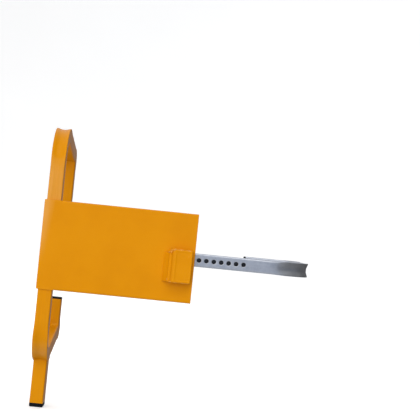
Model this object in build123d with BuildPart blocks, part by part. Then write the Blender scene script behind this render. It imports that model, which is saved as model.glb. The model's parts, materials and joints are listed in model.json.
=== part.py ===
from build123d import *
import os

# Wheel clamp (wheel lock) for road wheels up to 230 mm wide.
#
# Frame, millimetres: the origin is the middle of the flat inner face of the tyre bracket's front
# leg, the face that bears on the tyre's outer sidewall. +X runs along the hook arm, away from the
# bracket. +Y points through the wheel, towards the vehicle. +Z is up. The front of the clamp faces -Y.

# ---------------------------------------------------------------- driving dimensions
WHEEL_WIDTH = 230.0        # widest wheel between the front legs and the rear hooks

# tyre bracket: one bent square tube
TUBE = 30.0                # outside width of the bracket tube
WALL = 2.5                 # wall of every square tube
CORNER_R = 3.0             # outside corner radius of the tubes
BEND_R = 45.0              # inside radius of the large front bends
HOOK_BEND_R = 10.0         # inside radius of the tight rear bends
BRACKET_HALF_H = 250.0     # centre to the outside of the top and bottom legs
UPPER_TIP_Z = 60.0         # end of the long upper rear hook
LOWER_TIP_Z = -127.0       # end of the short lower rear hook

# foot
FOOT_W = 29.0              # along X
FOOT_D = 50.0              # along Y
FOOT_Y0 = 30.0             # front of the foot
FOOT_END_Z = -340.0        # cut end of the foot tube
FOOT_CAP_T = 8.0           # head of the plastic foot cap

# face plate
PLATE_X0 = -19.0
PLATE_X1 = 305.0
PLATE_HALF_H = 94.0
SHEET = 3.0
FLANGE = 18.0              # overall depth of the folded long edges
FLANGE_X0 = 18.0           # the flanges start beside the bracket tube
FOLD_R = 4.0               # outside radius of the folds

# hook arm
ARM = 28.0                 # outside width of the arm tube
ARM_Z = -2.0               # centreline height of the arm
ARM_FRONT_Y = -27.0        # front face of the arm
ARM_X0 = 236.0             # inner end of the arm tube
ARM_X1 = 550.5             # outside of the arm's back leg
ARM_BEND_R = 46.0          # inside radius of the arm's front bend
ARM_HOOK_R = 11.0          # inside radius of the arm's rear bend
ARM_TIP_X = 425.0          # end of the arm's rear hook
HOLE_R = 4.5               # adjusting holes
HOLE_PITCH = 15.7
HOLE_LAST_X = 408.3        # outermost hole
HOLE_COUNT = 11

# sleeve that guides the arm behind the plate
SLEEVE_IN = 29.0
SLEEVE_X0 = 15.0
SLEEVE_X1 = 300.0

# lock box
BOX_X0 = 240.5             # foot of the sloping side
BOX_XF = 262.0             # front edge of the sloping side
BOX_STEP_X0 = 251.0        # the sloping side's top is lower, and rises to the box's own
BOX_STEP_X1 = 259.0
BOX_STEP_Z = 9.0
BOX_X1 = 299.5
BOX_Z0 = -52.0
BOX_Z1 = 16.5
BOX_D = 27.0               # how far the box stands out from the plate
BOX_T = 2.5
SLOT_L = 38.0              # slot in the end wall, over the lock face
SLOT_W = 13.0

# key lock and bolt
LOCK_Y = -45.5             # lock axis
LOCK_Z = -28.0
PLUG_R = 6.0
BARREL_R = 9.0
RUN = 0.05                 # radial running clearance
THROW_R = 6.364            # drive pin's radius on the cam
PIN_R = 2.0
BOLT_X = 282.7             # the bolt stands on a hole centre of the arm
BOLT_R = 4.25
BOLT_TIP_Y = -28.0         # bolt drawn back
BOLT_SHOULDER_Y = -51.4

# ---------------------------------------------------------------- derived
PLATE_FRONT = -TUBE - SHEET
BOX_FRONT = PLATE_FRONT - BOX_D
REAR_IN = WHEEL_WIDTH
REAR_OUT = WHEEL_WIDTH + TUBE
ARM_BACK_Y = ARM_FRONT_Y + ARM
ARM_MID_Y = ARM_FRONT_Y + ARM / 2
ARM_REAR_OUT = WHEEL_WIDTH + ARM
ARM_REAR_MID = WHEEL_WIDTH + ARM / 2
BRACKET_MID_REAR = WHEEL_WIDTH + TUBE / 2
SLEEVE_OUT = SLEEVE_IN + 2 * WALL

os.makedirs("parts", exist_ok=True)

# the top and bottom tubes draw together towards the rear
RAKE_SIN = 0.173648        # 10 degrees
RAKE_COS = (1 - RAKE_SIN ** 2) ** 0.5


def rake_z(y, r):
    """Height over y of the sloping line that passes r outside the front bend's centre."""
    return BRACKET_HALF_H - TUBE - BEND_R + (r - (y - BEND_R) * RAKE_SIN) / RAKE_COS


# ---------------------------------------------------------------- tyre bracket
# solid outline of the bracket's tube, used to cope the top of the foot
with BuildPart() as bracket_outline:
    with BuildSketch(Plane.YZ):
        with BuildLine():
            outside = FilletPolyline(
                (REAR_OUT, UPPER_TIP_Z), (REAR_OUT, rake_z(REAR_OUT, BEND_R + TUBE)), (-TUBE, rake_z(-TUBE, BEND_R + TUBE)),
                (-TUBE, -rake_z(-TUBE, BEND_R + TUBE)), (REAR_OUT, -rake_z(REAR_OUT, BEND_R + TUBE)), (REAR_OUT, LOWER_TIP_Z),
                radius=[HOOK_BEND_R + TUBE, BEND_R + TUBE, BEND_R + TUBE, HOOK_BEND_R + TUBE],
            )
            inside = FilletPolyline(
                (REAR_IN, UPPER_TIP_Z), (REAR_IN, rake_z(REAR_IN, BEND_R)), (0, rake_z(0, BEND_R)),
                (0, -rake_z(0, BEND_R)), (REAR_IN, -rake_z(REAR_IN, BEND_R)), (REAR_IN, LOWER_TIP_Z),
                radius=[HOOK_BEND_R, BEND_R, BEND_R, HOOK_BEND_R],
            )
            Line(outside @ 0, inside @ 0)
            Line(outside @ 1, inside @ 1)
        make_face()
    extrude(amount=TUBE / 2, both=True)

with BuildPart() as tyre_bracket:
    add(bracket_outline.part)
    side_faces = tyre_bracket.faces().filter_by(Axis.X).sort_by(Axis.X)
    long_edges = (side_faces[0].edges() + side_faces[-1].edges()).filter_by(
        lambda e: not (
            e.geom_type == GeomType.LINE
            and abs(e.tangent_at(0.5).Z) < 0.01
            and (abs(e.center().Z - UPPER_TIP_Z) < 0.01 or abs(e.center().Z - LOWER_TIP_Z) < 0.01)
        )
    )
    fillet(long_edges, CORNER_R)
    with BuildSketch(Plane.YZ):
        with BuildLine():
            void_out = FilletPolyline(
                (REAR_OUT - WALL, UPPER_TIP_Z - 1), (REAR_OUT - WALL, rake_z(REAR_OUT - WALL, BEND_R + TUBE - WALL)),
                (-TUBE + WALL, rake_z(-TUBE + WALL, BEND_R + TUBE - WALL)), (-TUBE + WALL, -rake_z(-TUBE + WALL, BEND_R + TUBE - WALL)),
                (REAR_OUT - WALL, -rake_z(REAR_OUT - WALL, BEND_R + TUBE - WALL)), (REAR_OUT - WALL, LOWER_TIP_Z + 1),
                radius=[HOOK_BEND_R + TUBE - WALL, BEND_R + TUBE - WALL, BEND_R + TUBE - WALL, HOOK_BEND_R + TUBE - WALL],
            )
            void_in = FilletPolyline(
                (REAR_IN + WALL, UPPER_TIP_Z - 1), (REAR_IN + WALL, rake_z(REAR_IN + WALL, BEND_R + WALL)),
                (-WALL, rake_z(-WALL, BEND_R + WALL)), (-WALL, -rake_z(-WALL, BEND_R + WALL)),
                (REAR_IN + WALL, -rake_z(REAR_IN + WALL, BEND_R + WALL)), (REAR_IN + WALL, LOWER_TIP_Z + 1),
                radius=[HOOK_BEND_R + WALL, BEND_R + WALL, BEND_R + WALL, HOOK_BEND_R + WALL],
            )
            Line(void_out @ 0, void_in @ 0)
            Line(void_out @ 1, void_in @ 1)
        make_face()
    extrude(amount=TUBE / 2 - WALL, both=True, mode=Mode.SUBTRACT)
tyre_bracket.part.label = "tyre_bracket"
export_step(tyre_bracket.part, "parts/tyre_bracket.step")

# plastic plugs in the two hook ends: a head over the tube's end and a hollow stem inside it
with BuildPart() as upper_hook_cap:
    with BuildSketch(Plane.XY.offset(UPPER_TIP_Z - 4)):
        with Locations((0, BRACKET_MID_REAR)):
            RectangleRounded(TUBE, TUBE, CORNER_R)
    extrude(amount=4)
    fillet(upper_hook_cap.faces().sort_by(Axis.Z)[0].edges(), 1.5)
    with BuildSketch(Plane.XY.offset(UPPER_TIP_Z)):
        with Locations((0, BRACKET_MID_REAR)):
            Rectangle(TUBE - 2 * WALL - 0.4, TUBE - 2 * WALL - 0.4)
            Rectangle(TUBE - 2 * WALL - 4, TUBE - 2 * WALL - 4, mode=Mode.SUBTRACT)
    extrude(amount=14)
upper_hook_cap.part.label = "upper_hook_cap"
export_step(upper_hook_cap.part, "parts/upper_hook_cap.step")

with BuildPart() as lower_hook_cap:
    with BuildSketch(Plane.XY.offset(LOWER_TIP_Z)):
        with Locations((0, BRACKET_MID_REAR)):
            RectangleRounded(TUBE, TUBE, CORNER_R)
    extrude(amount=4)
    fillet(lower_hook_cap.faces().sort_by(Axis.Z)[-1].edges(), 1.5)
    with BuildSketch(Plane.XY.offset(LOWER_TIP_Z)):
        with Locations((0, BRACKET_MID_REAR)):
            Rectangle(TUBE - 2 * WALL - 0.4, TUBE - 2 * WALL - 0.4)
            Rectangle(TUBE - 2 * WALL - 4, TUBE - 2 * WALL - 4, mode=Mode.SUBTRACT)
    extrude(amount=-14)
lower_hook_cap.part.label = "lower_hook_cap"
export_step(lower_hook_cap.part, "parts/lower_hook_cap.step")

# ---------------------------------------------------------------- foot
with BuildPart() as foot_tube:
    with BuildSketch(Plane.XY.offset(FOOT_END_Z)):
        with Locations((0, FOOT_Y0 + FOOT_D / 2)):
            RectangleRounded(FOOT_W, FOOT_D, CORNER_R)
            Rectangle(FOOT_W - 2 * WALL, FOOT_D - 2 * WALL, mode=Mode.SUBTRACT)
    extrude(amount=-FOOT_END_Z - BRACKET_HALF_H + 12)
    add(bracket_outline.part, mode=Mode.SUBTRACT)
foot_tube.part.label = "foot_tube"
export_step(foot_tube.part, "parts/foot_tube.step")

with BuildPart() as foot_cap:
    with BuildSketch(Plane.XY.offset(FOOT_END_Z - FOOT_CAP_T)):
        with Locations((0, FOOT_Y0 + FOOT_D / 2)):
            RectangleRounded(FOOT_W, FOOT_D, CORNER_R)
    extrude(amount=FOOT_CAP_T)
    fillet(foot_cap.faces().sort_by(Axis.Z)[0].edges(), 1.5)
    with BuildSketch(Plane.XY.offset(FOOT_END_Z)):
        with Locations((0, FOOT_Y0 + FOOT_D / 2)):
            Rectangle(FOOT_W - 2 * WALL - 0.4, FOOT_D - 2 * WALL - 0.4)
            Rectangle(FOOT_W - 2 * WALL - 4, FOOT_D - 2 * WALL - 4, mode=Mode.SUBTRACT)
    extrude(amount=18)
foot_cap.part.label = "foot_cap"
export_step(foot_cap.part, "parts/foot_cap.step")

# ---------------------------------------------------------------- face plate
with BuildPart() as face_plate:
    # channel with both long edges folded back
    with BuildSketch(Plane.YZ.offset(FLANGE_X0)):
        with BuildLine():
            fold_out = FilletPolyline(
                (PLATE_FRONT + FLANGE, PLATE_HALF_H), (PLATE_FRONT, PLATE_HALF_H),
                (PLATE_FRONT, -PLATE_HALF_H), (PLATE_FRONT + FLANGE, -PLATE_HALF_H),
                radius=FOLD_R,
            )
            fold_in = FilletPolyline(
                (PLATE_FRONT + FLANGE, PLATE_HALF_H - SHEET), (PLATE_FRONT + SHEET, PLATE_HALF_H - SHEET),
                (PLATE_FRONT + SHEET, -PLATE_HALF_H + SHEET), (PLATE_FRONT + FLANGE, -PLATE_HALF_H + SHEET),
                radius=FOLD_R - SHEET,
            )
            Line(fold_out @ 0, fold_in @ 0)
            Line(fold_out @ 1, fold_in @ 1)
        make_face()
    extrude(amount=PLATE_X1 - FLANGE_X0)
    # flat end that covers the bracket tube
    with BuildSketch(Plane.XZ.offset(-PLATE_FRONT)):
        with Locations(((PLATE_X0 + FLANGE_X0) / 2, 0)):
            Rectangle(FLANGE_X0 - PLATE_X0, 2 * PLATE_HALF_H)
    extrude(amount=-SHEET)
    fillet(face_plate.edges().filter_by(Axis.Y).group_by(Axis.X)[0], 2.0)
    # seat of the bolt guide
    with BuildSketch(Plane.XZ.offset(-PLATE_FRONT)):
        with Locations((BOLT_X, ARM_Z)):
            Circle(7.0)
    extrude(amount=-SHEET, mode=Mode.SUBTRACT)
face_plate.part.label = "face_plate"
export_step(face_plate.part, "parts/face_plate.step")

# ---------------------------------------------------------------- arm sleeve
with BuildPart() as arm_sleeve:
    with BuildSketch(Plane.YZ.offset(SLEEVE_X0)):
        with Locations((ARM_MID_Y, ARM_Z)):
            RectangleRounded(SLEEVE_OUT, SLEEVE_OUT, CORNER_R)
            Rectangle(SLEEVE_IN, SLEEVE_IN, mode=Mode.SUBTRACT)
    extrude(amount=SLEEVE_X1 - SLEEVE_X0)
    with BuildSketch(Plane.XZ.offset(TUBE)):
        with Locations((BOLT_X, ARM_Z)):
            Circle(HOLE_R + 0.2)
    extrude(amount=-WALL, mode=Mode.SUBTRACT)
arm_sleeve.part.label = "arm_sleeve"
export_step(arm_sleeve.part, "parts/arm_sleeve.step")

# ---------------------------------------------------------------- hook arm
with BuildPart() as hook_arm:
    with BuildSketch(Plane.XY.offset(ARM_Z - ARM / 2)):
        with BuildLine():
            arm_out = FilletPolyline(
                (ARM_X0, ARM_FRONT_Y), (ARM_X1, ARM_FRONT_Y), (ARM_X1, ARM_REAR_OUT), (ARM_TIP_X, ARM_REAR_OUT),
                radius=[ARM_BEND_R + ARM, ARM_HOOK_R + ARM],
            )
            arm_in = FilletPolyline(
                (ARM_X0, ARM_BACK_Y), (ARM_X1 - ARM, ARM_BACK_Y), (ARM_X1 - ARM, REAR_IN), (ARM_TIP_X, REAR_IN),
                radius=[ARM_BEND_R, ARM_HOOK_R],
            )
            Line(arm_out @ 0, arm_in @ 0)
            Line(arm_out @ 1, arm_in @ 1)
        make_face()
    extrude(amount=ARM)
    flat_faces = hook_arm.faces().filter_by(Axis.Z).sort_by(Axis.Z)
    arm_edges = (flat_faces[0].edges() + flat_faces[-1].edges()).filter_by(
        lambda e: not (
            e.geom_type == GeomType.LINE
            and abs(e.tangent_at(0.5).X) < 0.01
            and (abs(e.center().X - ARM_X0) < 0.01 or abs(e.center().X - ARM_TIP_X) < 0.01)
        )
    )
    fillet(arm_edges, CORNER_R)
    with BuildSketch(Plane.XY.offset(ARM_Z - ARM / 2 + WALL)):
        with BuildLine():
            arm_void_out = FilletPolyline(
                (ARM_X0 - 1, ARM_FRONT_Y + WALL), (ARM_X1 - WALL, ARM_FRONT_Y + WALL),
                (ARM_X1 - WALL, ARM_REAR_OUT - WALL), (ARM_TIP_X - 1, ARM_REAR_OUT - WALL),
                radius=[ARM_BEND_R + ARM - WALL, ARM_HOOK_R + ARM - WALL],
            )
            arm_void_in = FilletPolyline(
                (ARM_X0 - 1, ARM_BACK_Y - WALL), (ARM_X1 - ARM + WALL, ARM_BACK_Y - WALL),
                (ARM_X1 - ARM + WALL, REAR_IN + WALL), (ARM_TIP_X - 1, REAR_IN + WALL),
                radius=[ARM_BEND_R + WALL, ARM_HOOK_R + WALL],
            )
            Line(arm_void_out @ 0, arm_void_in @ 0)
            Line(arm_void_out @ 1, arm_void_in @ 1)
        make_face()
    extrude(amount=ARM - 2 * WALL, mode=Mode.SUBTRACT)
    # adjusting holes, through the front wall only
    with BuildSketch(Plane.XZ.offset(-ARM_FRONT_Y)):
        with Locations(*[(HOLE_LAST_X - k * HOLE_PITCH, ARM_Z) for k in range(HOLE_COUNT)]):
            Circle(HOLE_R)
    extrude(amount=-WALL, mode=Mode.SUBTRACT)
hook_arm.part.label = "hook_arm"
export_step(hook_arm.part, "parts/hook_arm.step")

with BuildPart() as arm_hook_cap:
    with BuildSketch(Plane.YZ.offset(ARM_TIP_X - 4)):
        with Locations((ARM_REAR_MID, ARM_Z)):
            RectangleRounded(ARM, ARM, CORNER_R)
    extrude(amount=4)
    fillet(arm_hook_cap.faces().sort_by(Axis.X)[0].edges(), 1.5)
    with BuildSketch(Plane.YZ.offset(ARM_TIP_X)):
        with Locations((ARM_REAR_MID, ARM_Z)):
            Rectangle(ARM - 2 * WALL - 0.4, ARM - 2 * WALL - 0.4)
            Rectangle(ARM - 2 * WALL - 4, ARM - 2 * WALL - 4, mode=Mode.SUBTRACT)
    extrude(amount=14)
arm_hook_cap.part.label = "arm_hook_cap"
export_step(arm_hook_cap.part, "parts/arm_hook_cap.step")

with BuildPart() as arm_inner_plug:
    with BuildSketch(Plane.YZ.offset(ARM_X0 - 3)):
        with Locations((ARM_MID_Y, ARM_Z)):
            RectangleRounded(ARM, ARM, CORNER_R)
    extrude(amount=3)
    fillet(arm_inner_plug.faces().sort_by(Axis.X)[0].edges(), 1.2)
    with BuildSketch(Plane.YZ.offset(ARM_X0)):
        with Locations((ARM_MID_Y, ARM_Z)):
            Rectangle(ARM - 2 * WALL - 0.4, ARM - 2 * WALL - 0.4)
            Rectangle(ARM - 2 * WALL - 4, ARM - 2 * WALL - 4, mode=Mode.SUBTRACT)
    extrude(amount=9)
arm_inner_plug.part.label = "arm_inner_plug"
export_step(arm_inner_plug.part, "parts/arm_inner_plug.step")

# ---------------------------------------------------------------- lock box
BOX_SLOPE = (BOX_XF - BOX_X0) / BOX_D
BOX_SHIFT = BOX_T * (1 + BOX_SLOPE ** 2) ** 0.5       # the sloping wall's thickness along X
STEP_LEN = ((BOX_STEP_X1 - BOX_STEP_X0) ** 2 + (BOX_Z1 - BOX_STEP_Z) ** 2) ** 0.5
STEP_SHIFT = BOX_T * (STEP_LEN - (BOX_STEP_X1 - BOX_STEP_X0)) / (BOX_Z1 - BOX_STEP_Z)

# room inside the box, one wall thickness in from its outside
with BuildPart() as box_room:
    with BuildSketch(Plane.XY.offset(BOX_Z0 + BOX_T)):
        with BuildLine():
            Polyline(
                (BOX_X0 + BOX_SHIFT, PLATE_FRONT + 0.01),
                (BOX_XF + BOX_SHIFT - BOX_T * BOX_SLOPE, BOX_FRONT + BOX_T),
                (BOX_X1 - BOX_T, BOX_FRONT + BOX_T), (BOX_X1 - BOX_T, PLATE_FRONT + 0.01),
                close=True,
            )
        make_face()
    extrude(amount=BOX_Z1 - BOX_Z0 - 2 * BOX_T)
    with BuildSketch(Plane.XZ.offset(-PLATE_FRONT - 1.0)):
        with BuildLine():
            Polyline(
                (BOX_X0 - 1, BOX_STEP_Z - BOX_T), (BOX_STEP_X0 + STEP_SHIFT, BOX_STEP_Z - BOX_T),
                (BOX_STEP_X1 + STEP_SHIFT, BOX_Z1 - BOX_T), (BOX_STEP_X1 + STEP_SHIFT, BOX_Z1 + 1),
                (BOX_X0 - 1, BOX_Z1 + 1),
                close=True,
            )
        make_face()
    extrude(amount=BOX_D + 2.0, mode=Mode.SUBTRACT)

with BuildPart() as lock_box:
    with BuildSketch(Plane.XY.offset(BOX_Z0)):
        with BuildLine():
            Polyline(
                (BOX_X0, PLATE_FRONT), (BOX_XF, BOX_FRONT), (BOX_X1, BOX_FRONT), (BOX_X1, PLATE_FRONT),
                close=True,
            )
        make_face()
    extrude(amount=BOX_Z1 - BOX_Z0)
    fillet(lock_box.faces().sort_by(Axis.Y)[0].edges(), 3.5)
    with BuildSketch(Plane.XZ.offset(-PLATE_FRONT - 1.0)):
        with BuildLine():
            Polyline(
                (BOX_X0 - 1, BOX_STEP_Z), (BOX_STEP_X0, BOX_STEP_Z), (BOX_STEP_X1, BOX_Z1),
                (BOX_STEP_X1, BOX_Z1 + 1), (BOX_X0 - 1, BOX_Z1 + 1),
                close=True,
            )
        make_face()
    extrude(amount=BOX_D + 2.0, mode=Mode.SUBTRACT)
    add(box_room.part, mode=Mode.SUBTRACT)
    # rounded slot over the lock face
    with BuildSketch(Plane.YZ.offset(BOX_X1 - BOX_T)):
        with Locations((LOCK_Y, LOCK_Z)):
            SlotOverall(SLOT_L, SLOT_W, rotation=90)
    extrude(amount=BOX_T, mode=Mode.SUBTRACT)
lock_box.part.label = "lock_box"
export_step(lock_box.part, "parts/lock_box.step")

# plate behind the slot, with the hole for the plug
with BuildPart() as lock_face_plate:
    with BuildSketch(Plane.YZ.offset(BOX_X1 - BOX_T - 1.5)):
        with Locations((LOCK_Y, LOCK_Z)):
            RectangleRounded(19, 42, 2)
            Circle(PLUG_R + RUN, mode=Mode.SUBTRACT)
    extrude(amount=1.5)
lock_face_plate.part.label = "lock_face_plate"
export_step(lock_face_plate.part, "parts/lock_face_plate.step")

# ---------------------------------------------------------------- key lock
BARREL_X0 = 273.0
BARREL_X1 = BOX_X1 - BOX_T - 1.5
PLUG_X0 = 272.5
PLUG_X1 = BOX_X1 - BOX_T
CAM_X0 = 269.0
CAM_X1 = 272.0
YOKE_X0 = 264.6
YOKE_X1 = 267.6
PIN_Y = LOCK_Y - THROW_R * 0.70711
PIN_Z = LOCK_Z + THROW_R * 0.70711

with BuildPart() as lock_barrel:
    with BuildSketch(Plane.YZ.offset(BARREL_X0)):
        with Locations((LOCK_Y, LOCK_Z)):
            Circle(BARREL_R)
            Circle(PLUG_R + RUN, mode=Mode.SUBTRACT)
            # grooves that catch the wafers when no key is in
            Rectangle(6.4, 2 * PLUG_R + 3.2, mode=Mode.SUBTRACT)
    extrude(amount=BARREL_X1 - BARREL_X0)
lock_barrel.part.label = "lock_barrel"
export_step(lock_barrel.part, "parts/lock_barrel.step")

# cradle that carries the barrel on the plate
with BuildPart() as barrel_saddle:
    with BuildSketch(Plane.YZ.offset(277.0)):
        with Locations(((PLATE_FRONT - 13.0 + PLATE_FRONT) / 2, LOCK_Z)):
            Rectangle(13.0, 25.0)
        with Locations((LOCK_Y, LOCK_Z)):
            Circle(BARREL_R + 0.02, mode=Mode.SUBTRACT)
    extrude(amount=14.0)
barrel_saddle.part.label = "barrel_saddle"
export_step(barrel_saddle.part, "parts/barrel_saddle.step")

WAFER_X = [282.0 + 2.4 * k for k in range(5)]
with BuildPart() as lock_plug:
    with BuildSketch(Plane.YZ.offset(PLUG_X0)):
        with Locations((LOCK_Y, LOCK_Z)):
            Circle(PLUG_R)
    extrude(amount=PLUG_X1 - PLUG_X0)
    # keyway
    with BuildSketch(Plane.YZ.offset(PLUG_X1 - 18.0)):
        with Locations((LOCK_Y, LOCK_Z)):
            Rectangle(2.2, 7.8)
    extrude(amount=18.0, mode=Mode.SUBTRACT)
    # slots of the wafers
    for wafer_x in WAFER_X:
        with BuildSketch(Plane.YZ.offset(wafer_x - 0.6)):
            with Locations((LOCK_Y, LOCK_Z)):
                Rectangle(5.9, 2 * PLUG_R + 1)
        extrude(amount=1.2, mode=Mode.SUBTRACT)
    # square tang for the cam
    with BuildSketch(Plane.YZ.offset(CAM_X0)):
        with Locations((LOCK_Y, LOCK_Z)):
            Rectangle(5.0, 5.0)
    extrude(amount=PLUG_X0 - CAM_X0)
    # screw hole in the tang
    with BuildSketch(Plane.YZ.offset(CAM_X0)):
        with Locations((LOCK_Y, LOCK_Z)):
            Circle(1.5)
    extrude(amount=8.0, mode=Mode.SUBTRACT)
lock_plug.part.label = "lock_plug"
export_step(lock_plug.part, "parts/lock_plug.step")

with BuildPart() as lock_wafers:
    for index, wafer_x in enumerate(WAFER_X):
        with BuildSketch(Plane.YZ.offset(wafer_x - 0.5)):
            with Locations((LOCK_Y, LOCK_Z)):
                Rectangle(5.6, 10.2)
            with Locations((LOCK_Y, LOCK_Z + (0.5, -0.3, 0.2, -0.5, 0.3)[index])):
                Rectangle(2.8, 6.4, mode=Mode.SUBTRACT)
        extrude(amount=1.0)
lock_wafers.part.label = "lock_wafers"
export_step(lock_wafers.part, "parts/lock_wafers.step")

with BuildPart() as drive_cam:
    with BuildSketch(Plane.YZ.offset(CAM_X0)):
        with Locations((LOCK_Y, LOCK_Z)):
            Circle(6.6)
        with Locations((PIN_Y, PIN_Z)):
            Circle(3.4)
        make_hull()
        with Locations((LOCK_Y, LOCK_Z)):
            Rectangle(5.1, 5.1, mode=Mode.SUBTRACT)
    extrude(amount=CAM_X1 - CAM_X0)
    with BuildSketch(Plane.YZ.offset(YOKE_X0 + 0.3)):
        with Locations((PIN_Y, PIN_Z)):
            Circle(PIN_R)
    extrude(amount=CAM_X0 - YOKE_X0 - 0.3)
drive_cam.part.label = "drive_cam"
export_step(drive_cam.part, "parts/drive_cam.step")

with BuildPart() as cam_screw:
    with BuildSketch(Plane.YZ.offset(CAM_X0 - 0.9)):
        with Locations((LOCK_Y, LOCK_Z)):
            Circle(3.5)
            Rectangle(0.8, 5.0, mode=Mode.SUBTRACT)
    extrude(amount=0.6)
    with BuildSketch(Plane.YZ.offset(CAM_X0 - 0.3)):
        with Locations((LOCK_Y, LOCK_Z)):
            Circle(3.5)
    extrude(amount=0.3)
    with BuildSketch(Plane.YZ.offset(CAM_X0)):
        with Locations((LOCK_Y, LOCK_Z)):
            Circle(1.48)
    extrude(amount=7.0)
cam_screw.part.label = "cam_screw"
export_step(cam_screw.part, "parts/cam_screw.step")

# ---------------------------------------------------------------- bolt
with BuildPart() as bolt_guide:
    with BuildSketch(Plane.XZ.offset(TUBE)):
        with Locations((BOLT_X, ARM_Z)):
            Circle(7.0)
    extrude(amount=11.5)
    chamfer(bolt_guide.faces().sort_by(Axis.Y)[0].edges(), 0.8)
    with BuildSketch(Plane.XZ.offset(TUBE)):
        with Locations((BOLT_X, ARM_Z)):
            Circle(BOLT_R + RUN)
    extrude(amount=11.5, mode=Mode.SUBTRACT)
bolt_guide.part.label = "bolt_guide"
export_step(bolt_guide.part, "parts/bolt_guide.step")

with BuildPart() as locking_bolt:
    with BuildSketch(Plane.XZ.offset(-BOLT_TIP_Y)):
        with Locations((BOLT_X, ARM_Z)):
            Circle(BOLT_R)
    extrude(amount=BOLT_TIP_Y - BOLT_SHOULDER_Y)
    chamfer(locking_bolt.faces().sort_by(Axis.Y)[-1].edges(), 0.9)
    with BuildSketch(Plane.XZ.offset(-BOLT_SHOULDER_Y)):
        with Locations((BOLT_X, ARM_Z)):
            Circle(3.0)
    extrude(amount=4.4)
    # groove of the retaining clip
    with BuildSketch(Plane.XZ.offset(-BOLT_SHOULDER_Y + 3.0)):
        with Locations((BOLT_X, ARM_Z)):
            Circle(3.2)
            Circle(2.4, mode=Mode.SUBTRACT)
    extrude(amount=0.9, mode=Mode.SUBTRACT)
locking_bolt.part.label = "locking_bolt"
export_step(locking_bolt.part, "parts/locking_bolt.step")

# bent plate that carries the bolt and takes the drive pin in a slot
with BuildPart() as bolt_yoke:
    with BuildSketch(Plane.YZ.offset(YOKE_X0)):
        with Locations((PIN_Y, (PIN_Z - 5.2 + 4.5) / 2)):
            Rectangle(8.8, 4.5 - (PIN_Z - 5.2))
        with Locations((PIN_Y, PIN_Z + 0.95)):
            SlotOverall(7.4, 2 * PIN_R + 0.8, rotation=90, mode=Mode.SUBTRACT)
    extrude(amount=YOKE_X1 - YOKE_X0)
    with BuildSketch(Plane.XZ.offset(-BOLT_SHOULDER_Y)):
        with Locations(((YOKE_X0 + 289.0) / 2, ARM_Z)):
            Rectangle(289.0 - YOKE_X0, 13.0)
        with Locations((BOLT_X, ARM_Z)):
            Circle(3.05, mode=Mode.SUBTRACT)
    extrude(amount=3.0)
bolt_yoke.part.label = "bolt_yoke"
export_step(bolt_yoke.part, "parts/bolt_yoke.step")

with BuildPart() as bolt_clip:
    with BuildSketch(Plane.XZ.offset(-BOLT_SHOULDER_Y + 3.05)):
        with Locations((BOLT_X, ARM_Z)):
            Circle(4.8)
            Circle(2.45, mode=Mode.SUBTRACT)
        with Locations((BOLT_X, ARM_Z + 3.6)):
            Rectangle(3.8, 4.0, mode=Mode.SUBTRACT)
    extrude(amount=0.8)
bolt_clip.part.label = "bolt_clip"
export_step(bolt_clip.part, "parts/bolt_clip.step")
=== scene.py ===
import json
import math

import bmesh
import bpy
from mathutils import Matrix, Vector, noise


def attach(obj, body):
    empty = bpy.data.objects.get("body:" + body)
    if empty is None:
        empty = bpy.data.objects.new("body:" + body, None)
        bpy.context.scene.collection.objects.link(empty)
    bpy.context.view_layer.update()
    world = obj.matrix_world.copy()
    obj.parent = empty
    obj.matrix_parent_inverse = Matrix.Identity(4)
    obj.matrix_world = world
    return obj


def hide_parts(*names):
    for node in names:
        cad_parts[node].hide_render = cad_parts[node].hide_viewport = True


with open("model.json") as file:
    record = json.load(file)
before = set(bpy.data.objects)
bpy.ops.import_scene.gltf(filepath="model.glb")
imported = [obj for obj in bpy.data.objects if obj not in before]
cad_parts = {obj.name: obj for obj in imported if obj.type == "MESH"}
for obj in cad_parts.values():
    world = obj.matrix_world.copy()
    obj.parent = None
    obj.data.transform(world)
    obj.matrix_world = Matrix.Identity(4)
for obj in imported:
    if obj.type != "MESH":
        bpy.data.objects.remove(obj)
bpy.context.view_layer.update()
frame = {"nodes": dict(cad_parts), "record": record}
nodes = frame["nodes"]

MM = 0.001


def smooth(a, b, x):
    t = max(0.0, min(1.0, (x - a) / (b - a)))
    return t * t * (3 - 2 * t)


def lumps(x, y, z, scale, seed=0.0):
    return noise.noise(Vector((x / scale + seed, y / scale - seed, z / scale + 2.3 * seed)))


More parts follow.
